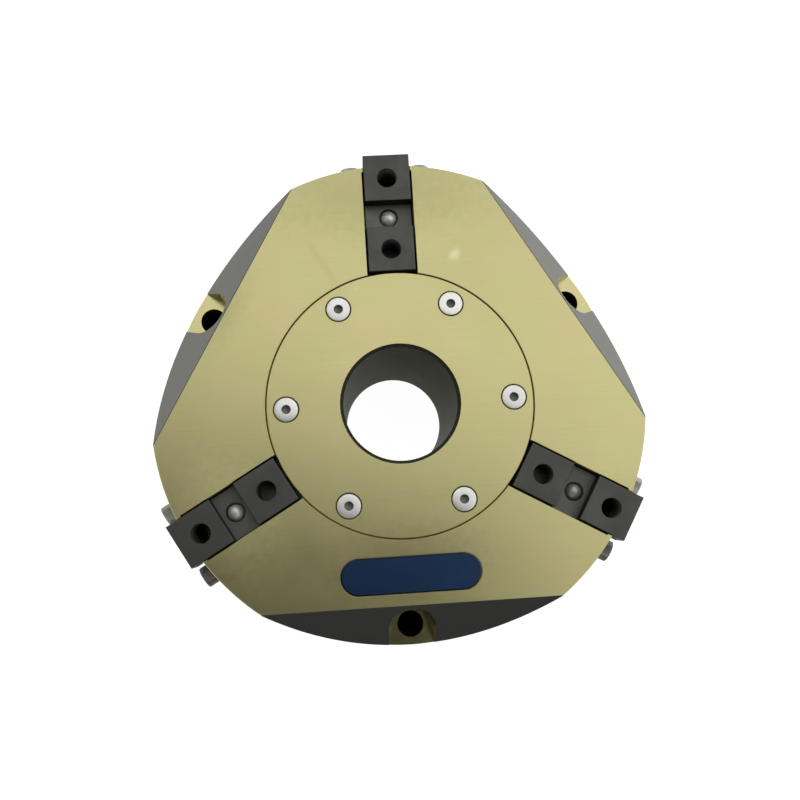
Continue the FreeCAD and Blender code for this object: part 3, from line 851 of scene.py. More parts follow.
# Names of the materials, which differ from the solids' own, with their recipes
RECIPES = {
    # The milled top face carries the patches of painted shade and light.
    "gold_milled": lambda n, f: anodised(n, f, (35, 2600, 2600), shaded_and_marked=True),
    "gold_turned": lambda n, f: anodised(n, f, (25, 25, 3500)),
    "gold_blasted": lambda n, f: anodised(n, f, (900, 900, 900), 0.1),
    "flank_matte": lambda n, f: matte(n, f.flank),
    # Painted shade: the flank facing -Y, which the light hardly reaches, is painted darker.
    "flank_painted_shade": lambda n, f: matte(n, tint(f.flank, 0.6)),
    # Painted shade: near black for the chamfers between the top face and the flanks.
    "flank_edge_painted_shade": lambda n, f: matte(n, tint(f.flank, 0.25)),
    # Painted shade: near black for the mounting holes' walls and the plunger sleeves.
    "drilled_painted_shade": lambda n, f: machined(n, tint(f.bore, 0.35), (300, 300, 2500), 0.6, 0.3),
    # Painted shade: dark olive for the bore's chamfered rim.
    "rim_painted_shade": lambda n, f: machined(n, tint(f.gold_deep, 0.07), (25, 25, 3500), 0.6, 0.3),
    "jaw_blackened": lambda n, f: blackened(n, f),
    # Painted light: a lighter oxide for the slot floors, against the shade their walls cast.
    "jaw_slot_painted_light": lambda n, f: blackened(n, f, 1.4),
    # Painted shade: near black for the cross slots' walls.
    "jaw_wall_painted_shade": lambda n, f: blackened(n, f, 0.3),
    "bore_wall": lambda n, f: bore_anodised(n, f.bore),
    "screw_bright": lambda n, f: machined(n, f.steel, (1500,) * 3, 0.34, 0.75, 0.5),
    # Painted shade: darker steel inside the hexagon sockets.
    "socket_painted_shade": lambda n, f: machined(n, tint(f.steel, 0.3), (1500,) * 3, 0.5, 0.5, 0.5),
    "screw_cap": lambda n, f: machined(n, f.cap, (1200,) * 3, 0.38, 0.7, 0.4),
    # Painted shade: darker steel for the cap screws on the -Y side.
    "screw_painted_shade": lambda n, f: machined(n, tint(f.cap, 0.45), (1200,) * 3, 0.38, 0.7, 0.4),
    "ball_satin": lambda n, f: satin(n, f.ball),
    # A darker steel for the third ball.
    "ball_darker": lambda n, f: satin(n, tint(f.ball, 0.5)),
    "spring_wire": lambda n, f: machined(n, f.alloy, (2000,) * 3, 0.3),
    "turned_alloy": lambda n, f: machined(n, f.alloy, (25, 25, 3000), 0.38),
    "seal_black": lambda n, f: rubber(n, f.rubber),
    "badge_enamel": lambda n, f: enamel(n, f.badge),
    "badge_border": lambda n, f: enamel(n, tint(f.badge, 0.25)),
}


def finish_named(name):
    """A material by name, made on first use."""
    finish = bpy.context.scene.gripper.finish
    return bpy.data.materials.get(name) or RECIPES[name](name, finish)


def dressed(piece, body, slot, nodes, *materials):
    """Gives a finished piece its body and its materials, and hides the nodes it stands for; the slot is
    not used.
    """
    piece.data.materials.clear()
    for name in materials:
        piece.data.materials.append(finish_named(name))
    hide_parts(*nodes)
    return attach(piece, body)


def paint(piece, index, test):
    """Gives one of a piece's materials to the faces whose centre and normal pass the test."""
    for face in piece.data.polygons:
        if test(face.center, face.normal):
            face.material_index = index


# One operator for each piece or group of pieces


class PieceOperator:
    bl_options = {"REGISTER", "UNDO"}

    def execute(self, context):
        self.build(context.scene.gripper)
        return {"FINISHED"}


class GRIPPER_OT_housing(PieceOperator, bpy.types.Operator):
    """Turn the body, cut its flanks, pockets, guides and ports, and chamfer its edges"""

    bl_idname = "gripper.housing"
    bl_label = "Housing"

    def build(self, sizes):
        body, plate, badge = sizes.body, sizes.plate, sizes.badge
        top, r = body.height, body.radius
        beyond, above = r + OVERCUT, top + OVERCUT
        pocket_floor = top - body.pocket_depth
        hole_r, half = r - body.hole_inset, body.pocket_radius
        chamber = 44.0 * MM
        piece = self.turned_body(sizes, chamber)
        self.cut_flanks(piece, r - body.flank_inset, top, body.flank_lean)
        pocket = peg("pocket", half, pocket_floor, above, (hole_r, 0), 96)
        mouth = block("mouth", (hole_r, -half, pocket_floor), (beyond, half, above))
        combined(pocket, [mouth], "UNION")
        guides = self.guide_cutters(sizes, beyond, above)
        combined(piece, around(pocket, FLANK_DEGS))
        for tool in guides:
            combined(piece, around(tool, JAW_DEGS))
        cleaned(piece)
        bevelled(piece, lambda p: p.z > top - WELD, body.rim, 1)
        seat = block(
            "seat",
            (plate.seat, -plate.width / 2 - FIT, plate.low - FIT),
            (beyond, plate.width / 2 + FIT, plate.high + FIT),
        )
        hole = peg("hole", body.hole_radius, -OVERCUT, pocket_floor + OVERCUT, (hole_r, 0), 72)
        combined(piece, around(seat, JAW_DEGS) + around(hole, FLANK_DEGS))
        self.tap_screw_holes(piece, sizes, top, beyond)
        self.drill_ports(piece, body.port_radius, r, chamber)
        recess = stadium("badge_recess", badge, badge.gap, top - badge.recess, above)
        combined(piece, [put(recess, turn(FLANK_DEGS[0]))])
        smoothed(piece, 20)
        coats = ("gold_milled", "gold_turned", "flank_matte", "gold_blasted", "drilled_painted_shade")
        coats += ("flank_painted_shade", "flank_edge_painted_shade")
        dressed(piece, "housing", "anodised_body", ["housing"], *coats)
        slope = math.sin(body.flank_lean)
        brow = math.sin(body.flank_lean / 2 + math.pi / 4)

        def from_hole(point):
            flat = Vector((hole_r, 0, point.z))
            return min((turn(-deg) @ point - flat).xy.length for deg in FLANK_DEGS)

        def on_flank(c, n):
            return abs(n.z - slope) < 0.01

        def in_pocket(c, n):
            inside = c.z > pocket_floor - HAIR and from_hole(c) < half + 0.5 * MM
            return inside and not on_flank(c, n)

        paint(piece, 1, lambda c, n: abs(n.z) < 0.3 and c.xy.length > r - 0.3 * MM)
        paint(piece, 2, on_flank)
        # Painted shade: the flank beside the badge, facing away from the light, gets the darker grey.
        paint(piece, 5, lambda c, n: on_flank(c, n) and c.y < -45 * MM)
        # Painted shade: the chamfers along the flanks' upper edges are painted dark.
        paint(piece, 6, lambda c, n: abs(n.z - brow) < 0.03)
        paint(piece, 3, in_pocket)
        # Painted shade: the walls of the mounting holes are painted near black.
        paint(piece, 4, lambda c, n: abs(n.z) < 0.1 and from_hole(c) < body.hole_radius + 0.1 * MM)

    def turned_body(self, sizes, chamber):
        """The round body with the cylinder, the rod's groove and the seats of both covers."""
        body, cover = sizes.body, sizes.cover
        top, r = body.height, body.radius
        recess, hub, deck = BASE_COVER_R + FIT, 21.25 * MM, 25.6 * MM
        seat_r, wide = cover.radius + cover.joint / 2, hub + 0.25 * MM
        groove_r, groove_low, groove_high = hub + 1.75 * MM, 28.2 * MM, 30.4 * MM
        floor = top - body.guide_depth
        profile = [
            (recess, 0), (r - body.base_rim, 0), (r, body.base_rim), (r, top),
            (seat_r, top), (seat_r, cover.seat), (wide, cover.seat), (wide, floor), (hub, floor),
            (hub, groove_high), (groove_r, groove_high), (groove_r, groove_low), (hub, groove_low),
            (hub, deck), (chamber, deck), (chamber, BASE_COVER_T), (recess, BASE_COVER_T),
        ]
        return turned("housing_body", profile)

    def cut_flanks(self, piece, edge, top, lean):
        for deg in FLANK_DEGS:
            edit(piece)
            bpy.ops.mesh.bisect(
                plane_co=turn(deg) @ Vector((edge, 0, top)),
                plane_no=turn(deg) @ Vector((math.cos(lean), 0, math.sin(lean))),
                use_fill=True,
                clear_outer=True,
                threshold=WELD,
            )
            leave()

    def guide_cutters(self, sizes, beyond, above):
        """Cutters for a guide: its neck, narrowed at the mouth, its flange and the wedge's foot."""
        body = sizes.body
        start_r, mouth_r = 20 * MM, 61 * MM
        side, wide = body.guide_neck / 2, body.guide_flange / 2
        floor, roof = body.height - body.guide_depth, body.flange_roof
        neck = block("neck", (start_r, -side, roof), (beyond, side, above))
        for x in (60.8 * MM, 61.1 * MM):
            edit(neck)
            bpy.ops.mesh.bisect(plane_co=(x, 0, 0), plane_no=(1, 0, 0))
        pick(neck, "VERT", lambda corner: corner.co.x > mouth_r)
        narrow = body.guide_mouth / body.guide_neck
        bpy.ops.transform.resize(value=(1, narrow, 1), center_override=(0, 0, 0))
        leave()
        flange = block("flange", (start_r, -wide, floor), (beyond, wide, roof))
        foot = block(
            "foot",
            (20.5 * MM, -wide - HAIR, roof - OVERCUT),
            (34.3 * MM, wide + HAIR, sizes.cover.seat + 0.3 * MM),
        )
        return neck, flange, foot

    def tap_screw_holes(self, piece, sizes, top, beyond):
        cover, plate = sizes.cover, sizes.plate
        tapped = sizes.screw.shank + FIT
        cover_hole = peg("tapped", tapped, top - 13.3 * MM, top, (cover.screw_circle, 0), 32)
        base_hole = peg("tapped", tapped, -OVERCUT, 14.3 * MM, (cover.base_screw_circle, 0), 32)
        combined(piece, around(cover_hole, SIXTHS) + around(base_hole, SIXTHS))
        for side in (-1, 1):
            y = side * plate.screw_spread / 2
            hole = side_peg("tapped", tapped, plate.seat - 6.3 * MM, beyond, plate.screw_height, y, 32)
            combined(piece, around(hole, JAW_DEGS))

    def drill_ports(self, piece, radius, r, chamber):
        """The two air ports under the first jaw, with their channels and chamfered mouths."""
        for height in (7.55 * MM, 24.05 * MM):
            bore = side_peg("port", radius, r - 7.5 * MM, r + OVERCUT, height)
            channel = side_peg("channel", 1.0 * MM, chamber - OVERCUT, r - 7 * MM, height, sides=32)
            start()
            bpy.ops.mesh.primitive_cone_add(
                vertices=48,
                radius1=radius - 0.1 * MM,
                radius2=radius + 1.0 * MM,
                depth=1.1 * MM,
                location=(r, 0, height),
                rotation=(0, math.pi / 2, 0),
            )
            tools = (bore, channel, settled("rim"))
            combined(piece, [put(tool, turn(JAW_DEGS[0])) for tool in tools])


class GRIPPER_OT_top_cover(PieceOperator, bpy.types.Operator):
    """Turn the round top cover and sink its six screw seats"""

    bl_idname = "gripper.top_cover"
    bl_label = "Top cover"

    def build(self, sizes):
        cover, top = sizes.cover, sizes.body.height
        fine, edge = cover.rim, cover.radius - cover.joint / 2
        sleeve = cover.bore + cover.wall + FIT
        lip, mouth = top - BORE_LIP, cover.bore + cover.bore_rim
        profile = [
            (sleeve, cover.seat), (edge - fine, cover.seat), (edge, cover.seat + fine),
            (edge, top - fine), (edge - fine, top), (mouth, top),
            (cover.bore, top - cover.bore_rim), (cover.bore, lip), (sleeve, lip),
        ]
        piece = turned("cover_plate", profile)
        seat = flat_head_seat(sizes.screw, top - cover.seat, top, cover.screw_circle)
        combined(piece, around(seat, SIXTHS))
        smoothed(cleaned(piece))
        dressed(piece, "housing", "anodised_body", ["top_cover"], "gold_milled", "rim_painted_shade")
        # Painted shade: the bore's chamfered rim and the short wall under it are painted dark.
        paint(piece, 1, lambda c, n: c.xy.length < mouth and abs(n.z) < 0.9)


class GRIPPER_OT_cover_screws(PieceOperator, bpy.types.Operator):
    """Make the countersunk screws of both covers"""

    bl_idname = "gripper.cover_screws"
    bl_label = "Cover screws"

    def build(self, sizes):
        cover, screw = sizes.cover, sizes.screw
        over = Matrix.Rotation(math.pi, 4, "X")
        rows = (
            ("top_cover", 13.0 * MM, cover.screw_circle, sizes.body.height, Matrix()),
            ("bottom_cover", 14.0 * MM, cover.base_screw_circle, 0.0, over),
        )
        socket_turns = (12, 47, 5, 33, 52, 20)
        inside = screw.flat_hex / math.sqrt(3) + HAIR

        def in_socket(c, r, height):
            flat = Vector((r, 0, c.z))
            reach = min((turn(-deg) @ c - flat).length for deg in SIXTHS)
            return reach < inside and abs(c.z - height) < 2.2 * MM

        for name, total, r, height, tip in rows:
            model = flat_head_screw("screw", screw, total)
            made = []
            for number, deg in enumerate(SIXTHS):
                spot = turn(deg) @ moved(r, 0, height) @ tip @ turn(socket_turns[number])
                made.append(copied(model, f"{name}_screw_{number + 1}", spot))
            removed(model)
            piece = joined(f"{name}_screw_set", made)
            coats = ("screw_bright", "socket_painted_shade")
            dressed(piece, "housing", "bright_steel", [f"{name}_screws"], *coats)
            # Painted shade: the inside of each hexagon socket is painted darker.
            paint(piece, 1, lambda c, n: in_socket(c, r, height))


class GRIPPER_OT_sleeve(PieceOperator, bpy.types.Operator):
    """Turn the centre sleeve, whose inside is the wall of the bore"""

    bl_idname = "gripper.sleeve"
    bl_label = "Centre sleeve"

    def build(self, sizes):
        cover, soft = sizes.cover, 0.3 * MM
        bore, outer, lip = cover.bore, cover.bore + cover.wall, sizes.body.height - BORE_LIP
        foot_r, foot_h = cover.foot_radius, cover.foot_height
        profile = [
            (bore + soft, 0), (foot_r - soft, 0), (foot_r, soft), (foot_r, foot_h),
            (outer, foot_h), (outer, lip), (bore, lip), (bore, soft),
        ]
        piece = smoothed(turned("bore_sleeve", profile))
        dressed(piece, "housing", "anodised_dark", ["centre_sleeve"], "bore_wall")


class GRIPPER_OT_base_cover(PieceOperator, bpy.types.Operator):
    """Turn the lower cover in the mounting face and sink its screw seats"""

    bl_idname = "gripper.base_cover"
    bl_label = "Lower cover"

    def build(self, sizes):
        cover, soft = sizes.cover, 0.2 * MM
        sleeve, foot = cover.bore + cover.wall + FIT, cover.foot_radius + FIT
        groove_in, groove_out, groove_low = 44.05 * MM, 45.45 * MM, BASE_COVER_T - 1.4 * MM
        seal_r, seal_low, seal_high = 17.9 * MM, 3.4 * MM, 4.8 * MM
        profile = [
            (foot, 0), (BASE_COVER_R - soft, 0), (BASE_COVER_R, soft), (BASE_COVER_R, BASE_COVER_T),
            (groove_out, BASE_COVER_T), (groove_out, groove_low),
            (groove_in, groove_low), (groove_in, BASE_COVER_T), (sleeve, BASE_COVER_T),
            (sleeve, seal_high), (seal_r, seal_high), (seal_r, seal_low), (sleeve, seal_low),
            (sleeve, cover.foot_height), (foot, cover.foot_height),
        ]
        piece = turned("base_cover_plate", profile)
        seat = flat_head_seat(sizes.screw, BASE_COVER_T, 0.0, cover.base_screw_circle, -1)
        combined(piece, around(seat, SIXTHS))
        smoothed(cleaned(piece))
        dressed(piece, "housing", "piston_alloy", ["bottom_cover"], "turned_alloy")


class GRIPPER_OT_jaws(PieceOperator, bpy.types.Operator):
    """Model one base jaw with its slot, grooves and tapped holes, and turn copies to their guides"""

    bl_idname = "gripper.jaws"
    bl_label = "Base jaws"

    def build(self, sizes):
        jaw, detent, body = sizes.jaw, sizes.detent, sizes.body
        top = body.height + jaw.proud
        slot_floor, slot_end = top - jaw.slot_depth, jaw.slot_start + jaw.slot_width
        middle = (jaw.slot_start + slot_end) / 2
        flange_end, tongue = 55.0 * MM, 50.3 * MM
        piece = self.blank(jaw, top, body.flange_roof - FIT, flange_end, tongue)
        half = jaw.width / 2 + OVERCUT
        slot = block("slot", (jaw.slot_start, -half, slot_floor), (slot_end, half, top + OVERCUT))
        combined(piece, [slot])
        cleaned(piece)
        bevelled(piece, lambda p: p.z > slot_floor + HAIR, jaw.edge)
        bevelled(piece, lambda p: p.x > flange_end + HAIR and p.z < tongue + HAIR, jaw.edge)
        tools = [peg("plunger", detent.radius, detent.floor, top, (middle, 0), 64)]
        ridges = []
        holes = ((-1, top - jaw.thread_depth, 9), (1, tongue - OVERCUT, 7))
        for side, bottom, rounds in holes:
            drilled, thread = self.tapped_hole(jaw, top, bottom, rounds)
            place = moved(middle + side * jaw.thread_spacing / 2)
            tools.append(put(drilled, place))
            ridges.append(put(thread, place))
        combined(piece, tools)
        piece = smoothed(joined("jaw", [piece, *ridges]))
        coats = ("jaw_blackened", "jaw_slot_painted_light", "jaw_wall_painted_shade")
        for number, deg in enumerate(JAW_DEGS, 1):
            copy = copied(piece, f"jaw_{number}_base", turn(deg))
            dressed(copy, f"jaw_{number}", "oxide_steel", [f"base_jaw_{number}"], *coats)
            along = turn(deg) @ Vector((1, 0, 0))

            def on_wall(c, n):
                away = min(abs(c @ along - wall) for wall in (jaw.slot_start, slot_end))
                return abs(n @ along) > 0.99 and away < HAIR

            # Painted light: the slot floor is painted lighter than the pads, so that it looks as bright
            # as they do.
            paint(copy, 1, lambda c, n: n.z > 0.99 and abs(c.z - slot_floor) < 0.1 * MM)
            # Painted shade: the cross slot's walls are painted near black.
            paint(copy, 2, on_wall)
        removed(piece)

    def blank(self, jaw, top, roof, flange_end, tongue):
        """The jaw with its tongue, flange, foot and the wedge hook's slanted grooves."""
        low, foot_top, foot_end, inside = 33.05 * MM, 51.7 * MM, 28.0 * MM, 16.8 * MM
        start_r = 10 * MM
        profile = [
            (inside, low), (flange_end, low), (flange_end, tongue), (jaw.outer, tongue),
            (jaw.outer, top), (jaw.inner, top), (jaw.inner, foot_top), (inside, foot_top),
        ]
        wings = [
            (start_r, low), (flange_end, low), (flange_end, roof),
            (foot_end, roof), (foot_end, foot_top), (start_r, foot_top),
        ]
        piece = slab("jaw", profile, jaw.width)
        combined(piece, [slab("wide", wings, 20.0 * MM)], "UNION")
        slope, level, under, over = 0.6, 37.5 * MM, 32 * MM, 53 * MM

        def slanted(name, c_in, c_out, width):
            corners = ((c_in, under), (c_out, under), (c_out, over), (c_in, over))
            return slab(name, [(c - slope * (z - level), z) for c, z in corners], width)

        cuts = [
            slanted("head", 27.3 * MM, 30.7 * MM, 12.2 * MM),
            slanted("stem", 23.3 * MM, 29.0 * MM, 6.2 * MM),
            slanted("inner", -60 * MM, 24.3 * MM, 21 * MM),
            peg("hub", inside, 30 * MM, over, sides=96),
        ]
        return combined(piece, cuts)

    def tapped_hole(self, jaw, top, bottom, rounds):
        """Cutter for a tapped hole and the thread's ridge in it, both on the axis."""
        ring, above, shoulder = jaw.core + 0.02 * MM, top + OVERCUT, top - 0.9 * MM
        mouth = ring + 0.15 * MM
        profile = [
            (0, bottom), (jaw.major, bottom), (jaw.major, shoulder), (ring, top - 0.5 * MM),
            (ring, top - 0.1 * MM), (mouth, top + FIT), (mouth, above), (0, above),
        ]
        thread = ridge(jaw.core, jaw.major + 0.03 * MM, jaw.pitch, rounds, 40)
        put(thread, moved(z=shoulder - (rounds + 0.5) * jaw.pitch))
        return turned("drilled", profile, 64), thread


class GRIPPER_OT_detents(PieceOperator, bpy.types.Operator):
    """Make the plunger sleeves, their balls and the coil springs under them"""

    bl_idname = "gripper.detents"
    bl_label = "Detents"

    def build(self, sizes):
        detent, jaw = sizes.detent, sizes.jaw
        floor, lid, r, lip = detent.floor, detent.top, detent.radius, detent.lip
        inner, soft, bevel, under = r - 0.25 * MM, 0.08 * MM, 0.2 * MM, lid - 0.3 * MM
        anchor = floor + 0.8 * MM
        profile = [
            (0, floor), (r - bevel, floor), (r, floor + bevel), (r, lid - soft), (r - soft, lid),
            (lip + soft, lid), (lip, lid - soft), (lip, under), (inner, under),
            (inner, anchor), (0, anchor),
        ]
        sleeve = smoothed(turned("sleeve", profile, 72))
        start()
        bpy.ops.mesh.primitive_uv_sphere_add(
            segments=64, ring_count=32, radius=detent.ball, location=(0, 0, detent.ball_height)
        )
        ball = settled("ball")
        bpy.ops.object.shade_smooth()
        top = round(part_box("detent_spring_1")[1].z, 5)
        wire = detent.wire
        around_wire = [math.radians(a) for a in range(0, 360, 30)]
        ring = [(detent.coil + wire * math.cos(a), wire * math.sin(a)) for a in around_wire]
        pitch = (top - anchor - 2 * wire) / detent.turns
        spring = helix("spring", ring, pitch, detent.turns, 28)
        put(spring, moved(z=anchor + wire))
        smoothed(spring, 45)
        for number, deg in enumerate(JAW_DEGS, 1):
            place = turn(deg) @ moved(jaw.slot_start + jaw.slot_width / 2)
            # The third ball gets a darker steel than the others.
            polish = "ball_darker" if number == 3 else "ball_satin"
            rows = (
                # Painted shade: each sleeve is painted dark, so it reads as a dark ring around its ball.
                (sleeve, "sleeve", f"jaw_{number}", "bright_steel", "drilled_painted_shade"),
                (ball, "ball", f"ball_{number}", "ball_steel", polish),
                (spring, "spring", f"jaw_{number}", "spring_steel", "spring_wire"),
            )
            made = {}
            for model, kind, rider, slot, coat in rows:
                piece = copied(model, f"plunger_{kind}_{number}", place)
                made[kind] = dressed(piece, rider, slot, [f"detent_{kind}_{number}"], coat)
            coil = made["spring"]
            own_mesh(coil)
        removed(sleeve, ball, spring)


class GRIPPER_OT_end_plates(PieceOperator, bpy.types.Operator):
    """Make the plates over the guides' outer ends and their knurled cap screws"""

    bl_idname = "gripper.end_plates"
    bl_label = "End plates"

    def build(self, sizes):
        plate, screw = sizes.plate, sizes.screw
        front, half = plate.seat + plate.thickness, plate.width / 2
        offsets = {side: side * plate.screw_spread / 2 for side in (-1, 1)}
        piece = block("plate", (plate.seat, -half, plate.low), (front, half, plate.high))
        pick(piece, "EDGE", lambda edge: abs(edge.verts[0].co.x - edge.verts[1].co.x) > WELD)
        bpy.ops.mesh.bevel(offset=plate.corner, segments=5, profile=0.5, affect="EDGES")
        leave()
        bevelled(piece, lambda p: p.x > front - WELD, 0.15 * MM, fold=40)
        ends = (plate.seat - OVERCUT, front + OVERCUT, plate.screw_height)
        for y in offsets.values():
            combined(piece, [side_peg("clear", screw.clear, *ends, y)])
        smoothed(piece)
        model = cap_screw("screw", screw, 7.5 * MM)
        tip = Matrix.Rotation(math.pi / 2, 4, "Y")
        made = []
        for number, deg in enumerate(JAW_DEGS, 1):
            copy = copied(piece, f"guide_plate_{number}", turn(deg))
            dressed(copy, "housing", "oxide_steel", [f"end_plate_{number}"], "jaw_blackened")
            for side, y in offsets.items():
                spot = turn(deg) @ moved(front, y, plate.screw_height) @ tip
                socket = turn(17 * number + 25 * side)
                made.append(copied(model, f"cap_{number}_{side}", spot @ socket))
        removed(piece, model)
        caps = joined("guide_plate_screw_set", made)
        coats = ("screw_cap", "screw_painted_shade")
        dressed(caps, "housing", "bright_steel", ["end_plate_screws"], *coats)
        # Painted shade: the two cap screws on the -Y side, in the body's shade, are painted darker.
        paint(caps, 1, lambda c, n: c.y < -32 * MM)


class GRIPPER_OT_badge(PieceOperator, bpy.types.Operator):
    """Make the blank badge plate with its raised border"""

    bl_idname = "gripper.badge"
    bl_label = "Badge"

    def build(self, sizes):
        badge = sizes.badge
        low = sizes.body.height - badge.recess
        high = low + badge.thickness
        piece = stadium("blank_badge", badge, 0.0, low, high)
        pick_sharp(piece, lambda p: p.z > high - WELD)
        bpy.ops.mesh.bevel(offset=0.1 * MM, segments=2, profile=0.5, affect="EDGES")
        pick(piece, "FACE", lambda face: face.normal.z > 0.99 and len(face.verts) > 20)
        bpy.ops.mesh.inset(thickness=badge.border)
        bpy.ops.mesh.inset(thickness=0.1 * MM, depth=-0.08 * MM)
        leave()
        smoothed(put(piece, turn(FLANK_DEGS[0])))
        dressed(piece, "housing", "badge_blue", ["badge_plate"], "badge_enamel", "badge_border")
        field = max(piece.data.polygons, key=lambda face: (face.normal.z > 0.9) * face.area)
        paint(piece, 1, lambda c, n: c != field.center)


class GRIPPER_OT_drive(PieceOperator, bpy.types.Operator):
    """Give the hidden drive's and the seals' own solids their finishes"""

    bl_idname = "gripper.drive"
    bl_label = "Drive and seals"

    def build(self, sizes):
        seals = ("piston_seal", "rod_seal", "sleeve_seal", "wedge_hook_seal", "bottom_cover_seal")
        coats = {name: "seal_black" for name in seals}
        coats["wedge_hook"] = "jaw_blackened"
        coats["piston"] = "turned_alloy"
        coats["piston_retaining_ring"] = "spring_wire"
        for name, coat in coats.items():
            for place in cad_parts[name].material_slots:
                place.material = finish_named(coat)


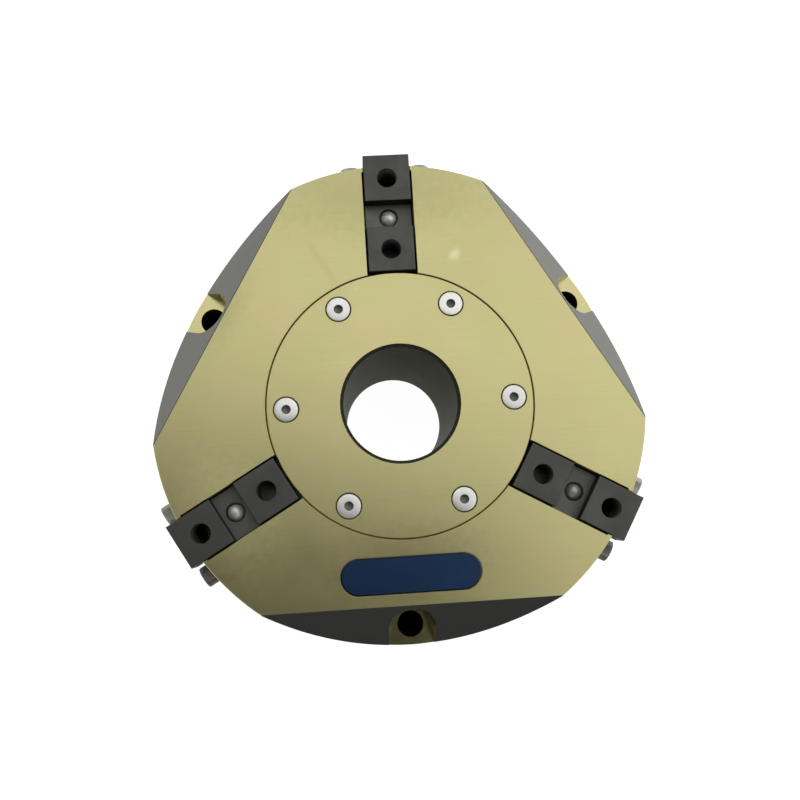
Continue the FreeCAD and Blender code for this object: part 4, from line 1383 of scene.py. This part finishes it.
class GRIPPER_OT_stage(PieceOperator, bpy.types.Operator):
    """Lay the pale floor and set the lamps, the world and the camera"""

    bl_idname = "gripper.stage"
    bl_label = "Stage"

    def build(self, sizes):
        scene = bpy.context.scene
        start()
        bpy.ops.mesh.primitive_plane_add(size=6.0, location=(0, 0, -0.2 * MM))
        floor = settled("floor")
        floor.data.materials.append(self.floor_material())
        self.world(scene)
        self.panel("near_panel", (-0.42, 1.0), (0.006, 0.4), 1.12)
        self.panel("far_panel", (-0.5, 1.0), (0.4, 1.4), 0.6)
        self.panel("side_panel", (0.14, 0.6), (-0.22, 0.0), 1.0)
        self.camera(scene)
        scene.view_settings.view_transform = "Standard"

    def background_rays(self, tree):
        """One for rays whose end shows the background: camera, glossy and transmission rays."""
        path = node(tree, "ShaderNodeLightPath").outputs
        first = maths(tree, "MAXIMUM", path["Is Camera Ray"], path["Is Glossy Ray"])
        return maths(tree, "MAXIMUM", first, path["Is Transmission Ray"])

    def floor_material(self):
        """Pale floor that reads as white and keeps a soft shadow, with a painted shadow where the
        gripper stands.
        """
        plain = {"Roughness": 0.9, "Specular IOR Level": 0.0}
        material, tree, shader = new_material("pale_floor", 0.0, plain)
        away = vector_maths(tree, "LENGTH", object_place(tree), output="Value")
        outside = ramp(tree, away, 0.0615, 0.0655)
        clear_of_painted_shadow = maths(tree, "MAXIMUM", outside, ramp(tree, away, 0.03, 0.02))
        camera_ray = node(tree, "ShaderNodeLightPath").outputs["Is Camera Ray"]
        # Painted shadow: under the gripper, between the bore and the outline, the floor is near black
        # and does not glow.
        pale = blend(tree, clear_of_painted_shadow, (0.02, 0.02, 0.02), ranged(tree, camera_ray, 0.15, 0.45))
        tree.links.new(pale, shader.inputs["Base Color"])
        lit = maths(tree, "MULTIPLY", self.background_rays(tree), clear_of_painted_shadow)
        strength = maths(tree, "MULTIPLY", lit, 0.97)
        glow = node(tree, "ShaderNodeEmission", {"Color": (1, 1, 1, 1), "Strength": strength})
        both = node(tree, "ShaderNodeAddShader", {0: shader.outputs[0], 1: glow.outputs[0]})
        tree.links.new(both.outputs[0], tree.nodes["Material Output"].inputs["Surface"])
        return material

    def world(self, scene):
        """Brighter behind the gripper than before it, white to the camera, pale low in mirrors."""
        world = bpy.data.worlds.new("studio")
        scene.world = world
        world.use_nodes = True
        tree = world.node_tree
        generated = node(tree, "ShaderNodeTexCoord").outputs["Generated"]
        way = node(tree, "ShaderNodeSeparateXYZ", {0: generated}).outputs
        path = node(tree, "ShaderNodeLightPath").outputs
        low = ramp(tree, way["Z"], 0.1, 0.8, 0.34, 0.12)
        behind = ramp(tree, way["Y"], -0.1, 0.8, 0.04, 2.4)
        pale = ramp(tree, way["Z"], 0.65, 0.9, 0.6, 0.0)
        mirrored = maths(tree, "MULTIPLY", pale, path["Is Glossy Ray"])
        strength = maths(tree, "MAXIMUM", maths(tree, "MULTIPLY", low, behind), mirrored)
        ambient = tree.nodes["Background"]
        ambient.inputs["Color"].default_value = (1, 1, 1, 1)
        tree.links.new(strength, ambient.inputs["Strength"])
        white = node(tree, "ShaderNodeBackground", {"Color": (1, 1, 1, 1), "Strength": 1.0})
        shaders = {0: path["Is Camera Ray"], 1: ambient.outputs[0], 2: white.outputs[0]}
        mix = node(tree, "ShaderNodeMixShader", shaders)
        tree.links.new(mix.outputs[0], tree.nodes["World Output"].inputs["Surface"])

    def panel(self, name, wide, deep, level):
        """Soft panel overhead. The near edge crosses the zenith, so the top shades off towards -Y."""
        swing = Matrix.Rotation(math.radians(-12), 4, "Z")
        place = Vector((0.04, -0.005, 0.85)) + swing @ Vector((sum(wide) / 2, sum(deep) / 2, 0))
        start()
        bpy.ops.object.light_add(type="AREA", location=place)
        lamp = bpy.context.object
        lamp.name = name
        lamp.data.shape = "RECTANGLE"
        lamp.data.size, lamp.data.size_y = wide[1] - wide[0], deep[1] - deep[0]
        lamp.data.energy = level * math.pi * lamp.data.size * lamp.data.size_y
        lamp.rotation_euler = swing.to_euler()

    def camera(self, scene):
        """The camera that was fitted to the photograph's edges."""
        right = Vector((0.99728884, -0.06174127, 0.0400373))
        up = Vector((0.05617106, 0.99020493, 0.12782417))
        back = Vector((-0.04753716, -0.12522868, 0.99098839))
        data = bpy.data.cameras.new("camera")
        data.lens = 41.155
        data.sensor_width = 36.0
        data.clip_start = 0.005
        data.clip_end = 20.0
        camera = bpy.data.objects.new("camera", data)
        scene.collection.objects.link(camera)
        place = Matrix((right, up, back)).transposed().to_4x4()
        place.translation = (-0.01111544, -0.02812483, 0.28674963)
        camera.matrix_world = place
        scene.camera = camera


OPERATORS = (
    GRIPPER_OT_housing,
    GRIPPER_OT_top_cover,
    GRIPPER_OT_cover_screws,
    GRIPPER_OT_sleeve,
    GRIPPER_OT_base_cover,
    GRIPPER_OT_jaws,
    GRIPPER_OT_detents,
    GRIPPER_OT_end_plates,
    GRIPPER_OT_badge,
    GRIPPER_OT_drive,
    GRIPPER_OT_stage,
)


class GRIPPER_PT_sidebar(bpy.types.Panel):
    """Lists the gripper's pieces and their sizes"""

    bl_idname = "GRIPPER_PT_sidebar"
    bl_label = "Gripper"
    bl_space_type = "VIEW_3D"
    bl_region_type = "UI"
    bl_category = "Gripper"

    def draw(self, context):
        sizes = context.scene.gripper
        for name in sizes.bl_rna.properties.keys():
            group = getattr(sizes, name)
            if isinstance(group, bpy.types.PropertyGroup):
                box = self.layout.box()
                box.label(text=name.replace("_", " ").title())
                for key in group.bl_rna.properties.keys():
                    if key not in ("rna_type", "name"):
                        box.prop(group, key)
        column = self.layout.column(align=True)
        for operator in OPERATORS:
            column.operator(operator.bl_idname)


GROUPS = (
    BodySizes,
    CoverSizes,
    JawSizes,
    DetentSizes,
    PlateSizes,
    ScrewSizes,
    BadgeSizes,
    Finishes,
    GripperSettings,
)


def register():
    for item in GROUPS + OPERATORS + (GRIPPER_PT_sidebar,):
        bpy.utils.register_class(item)
    bpy.types.Scene.gripper = PointerProperty(type=GripperSettings)


def unregister():
    del bpy.types.Scene.gripper
    for item in reversed(GROUPS + OPERATORS + (GRIPPER_PT_sidebar,)):
        bpy.utils.unregister_class(item)


def main():
    register()
    for operator in OPERATORS:
        family, name = operator.bl_idname.split(".")
        getattr(getattr(bpy.ops, family), name)()


if __name__ == "__main__":
    main()
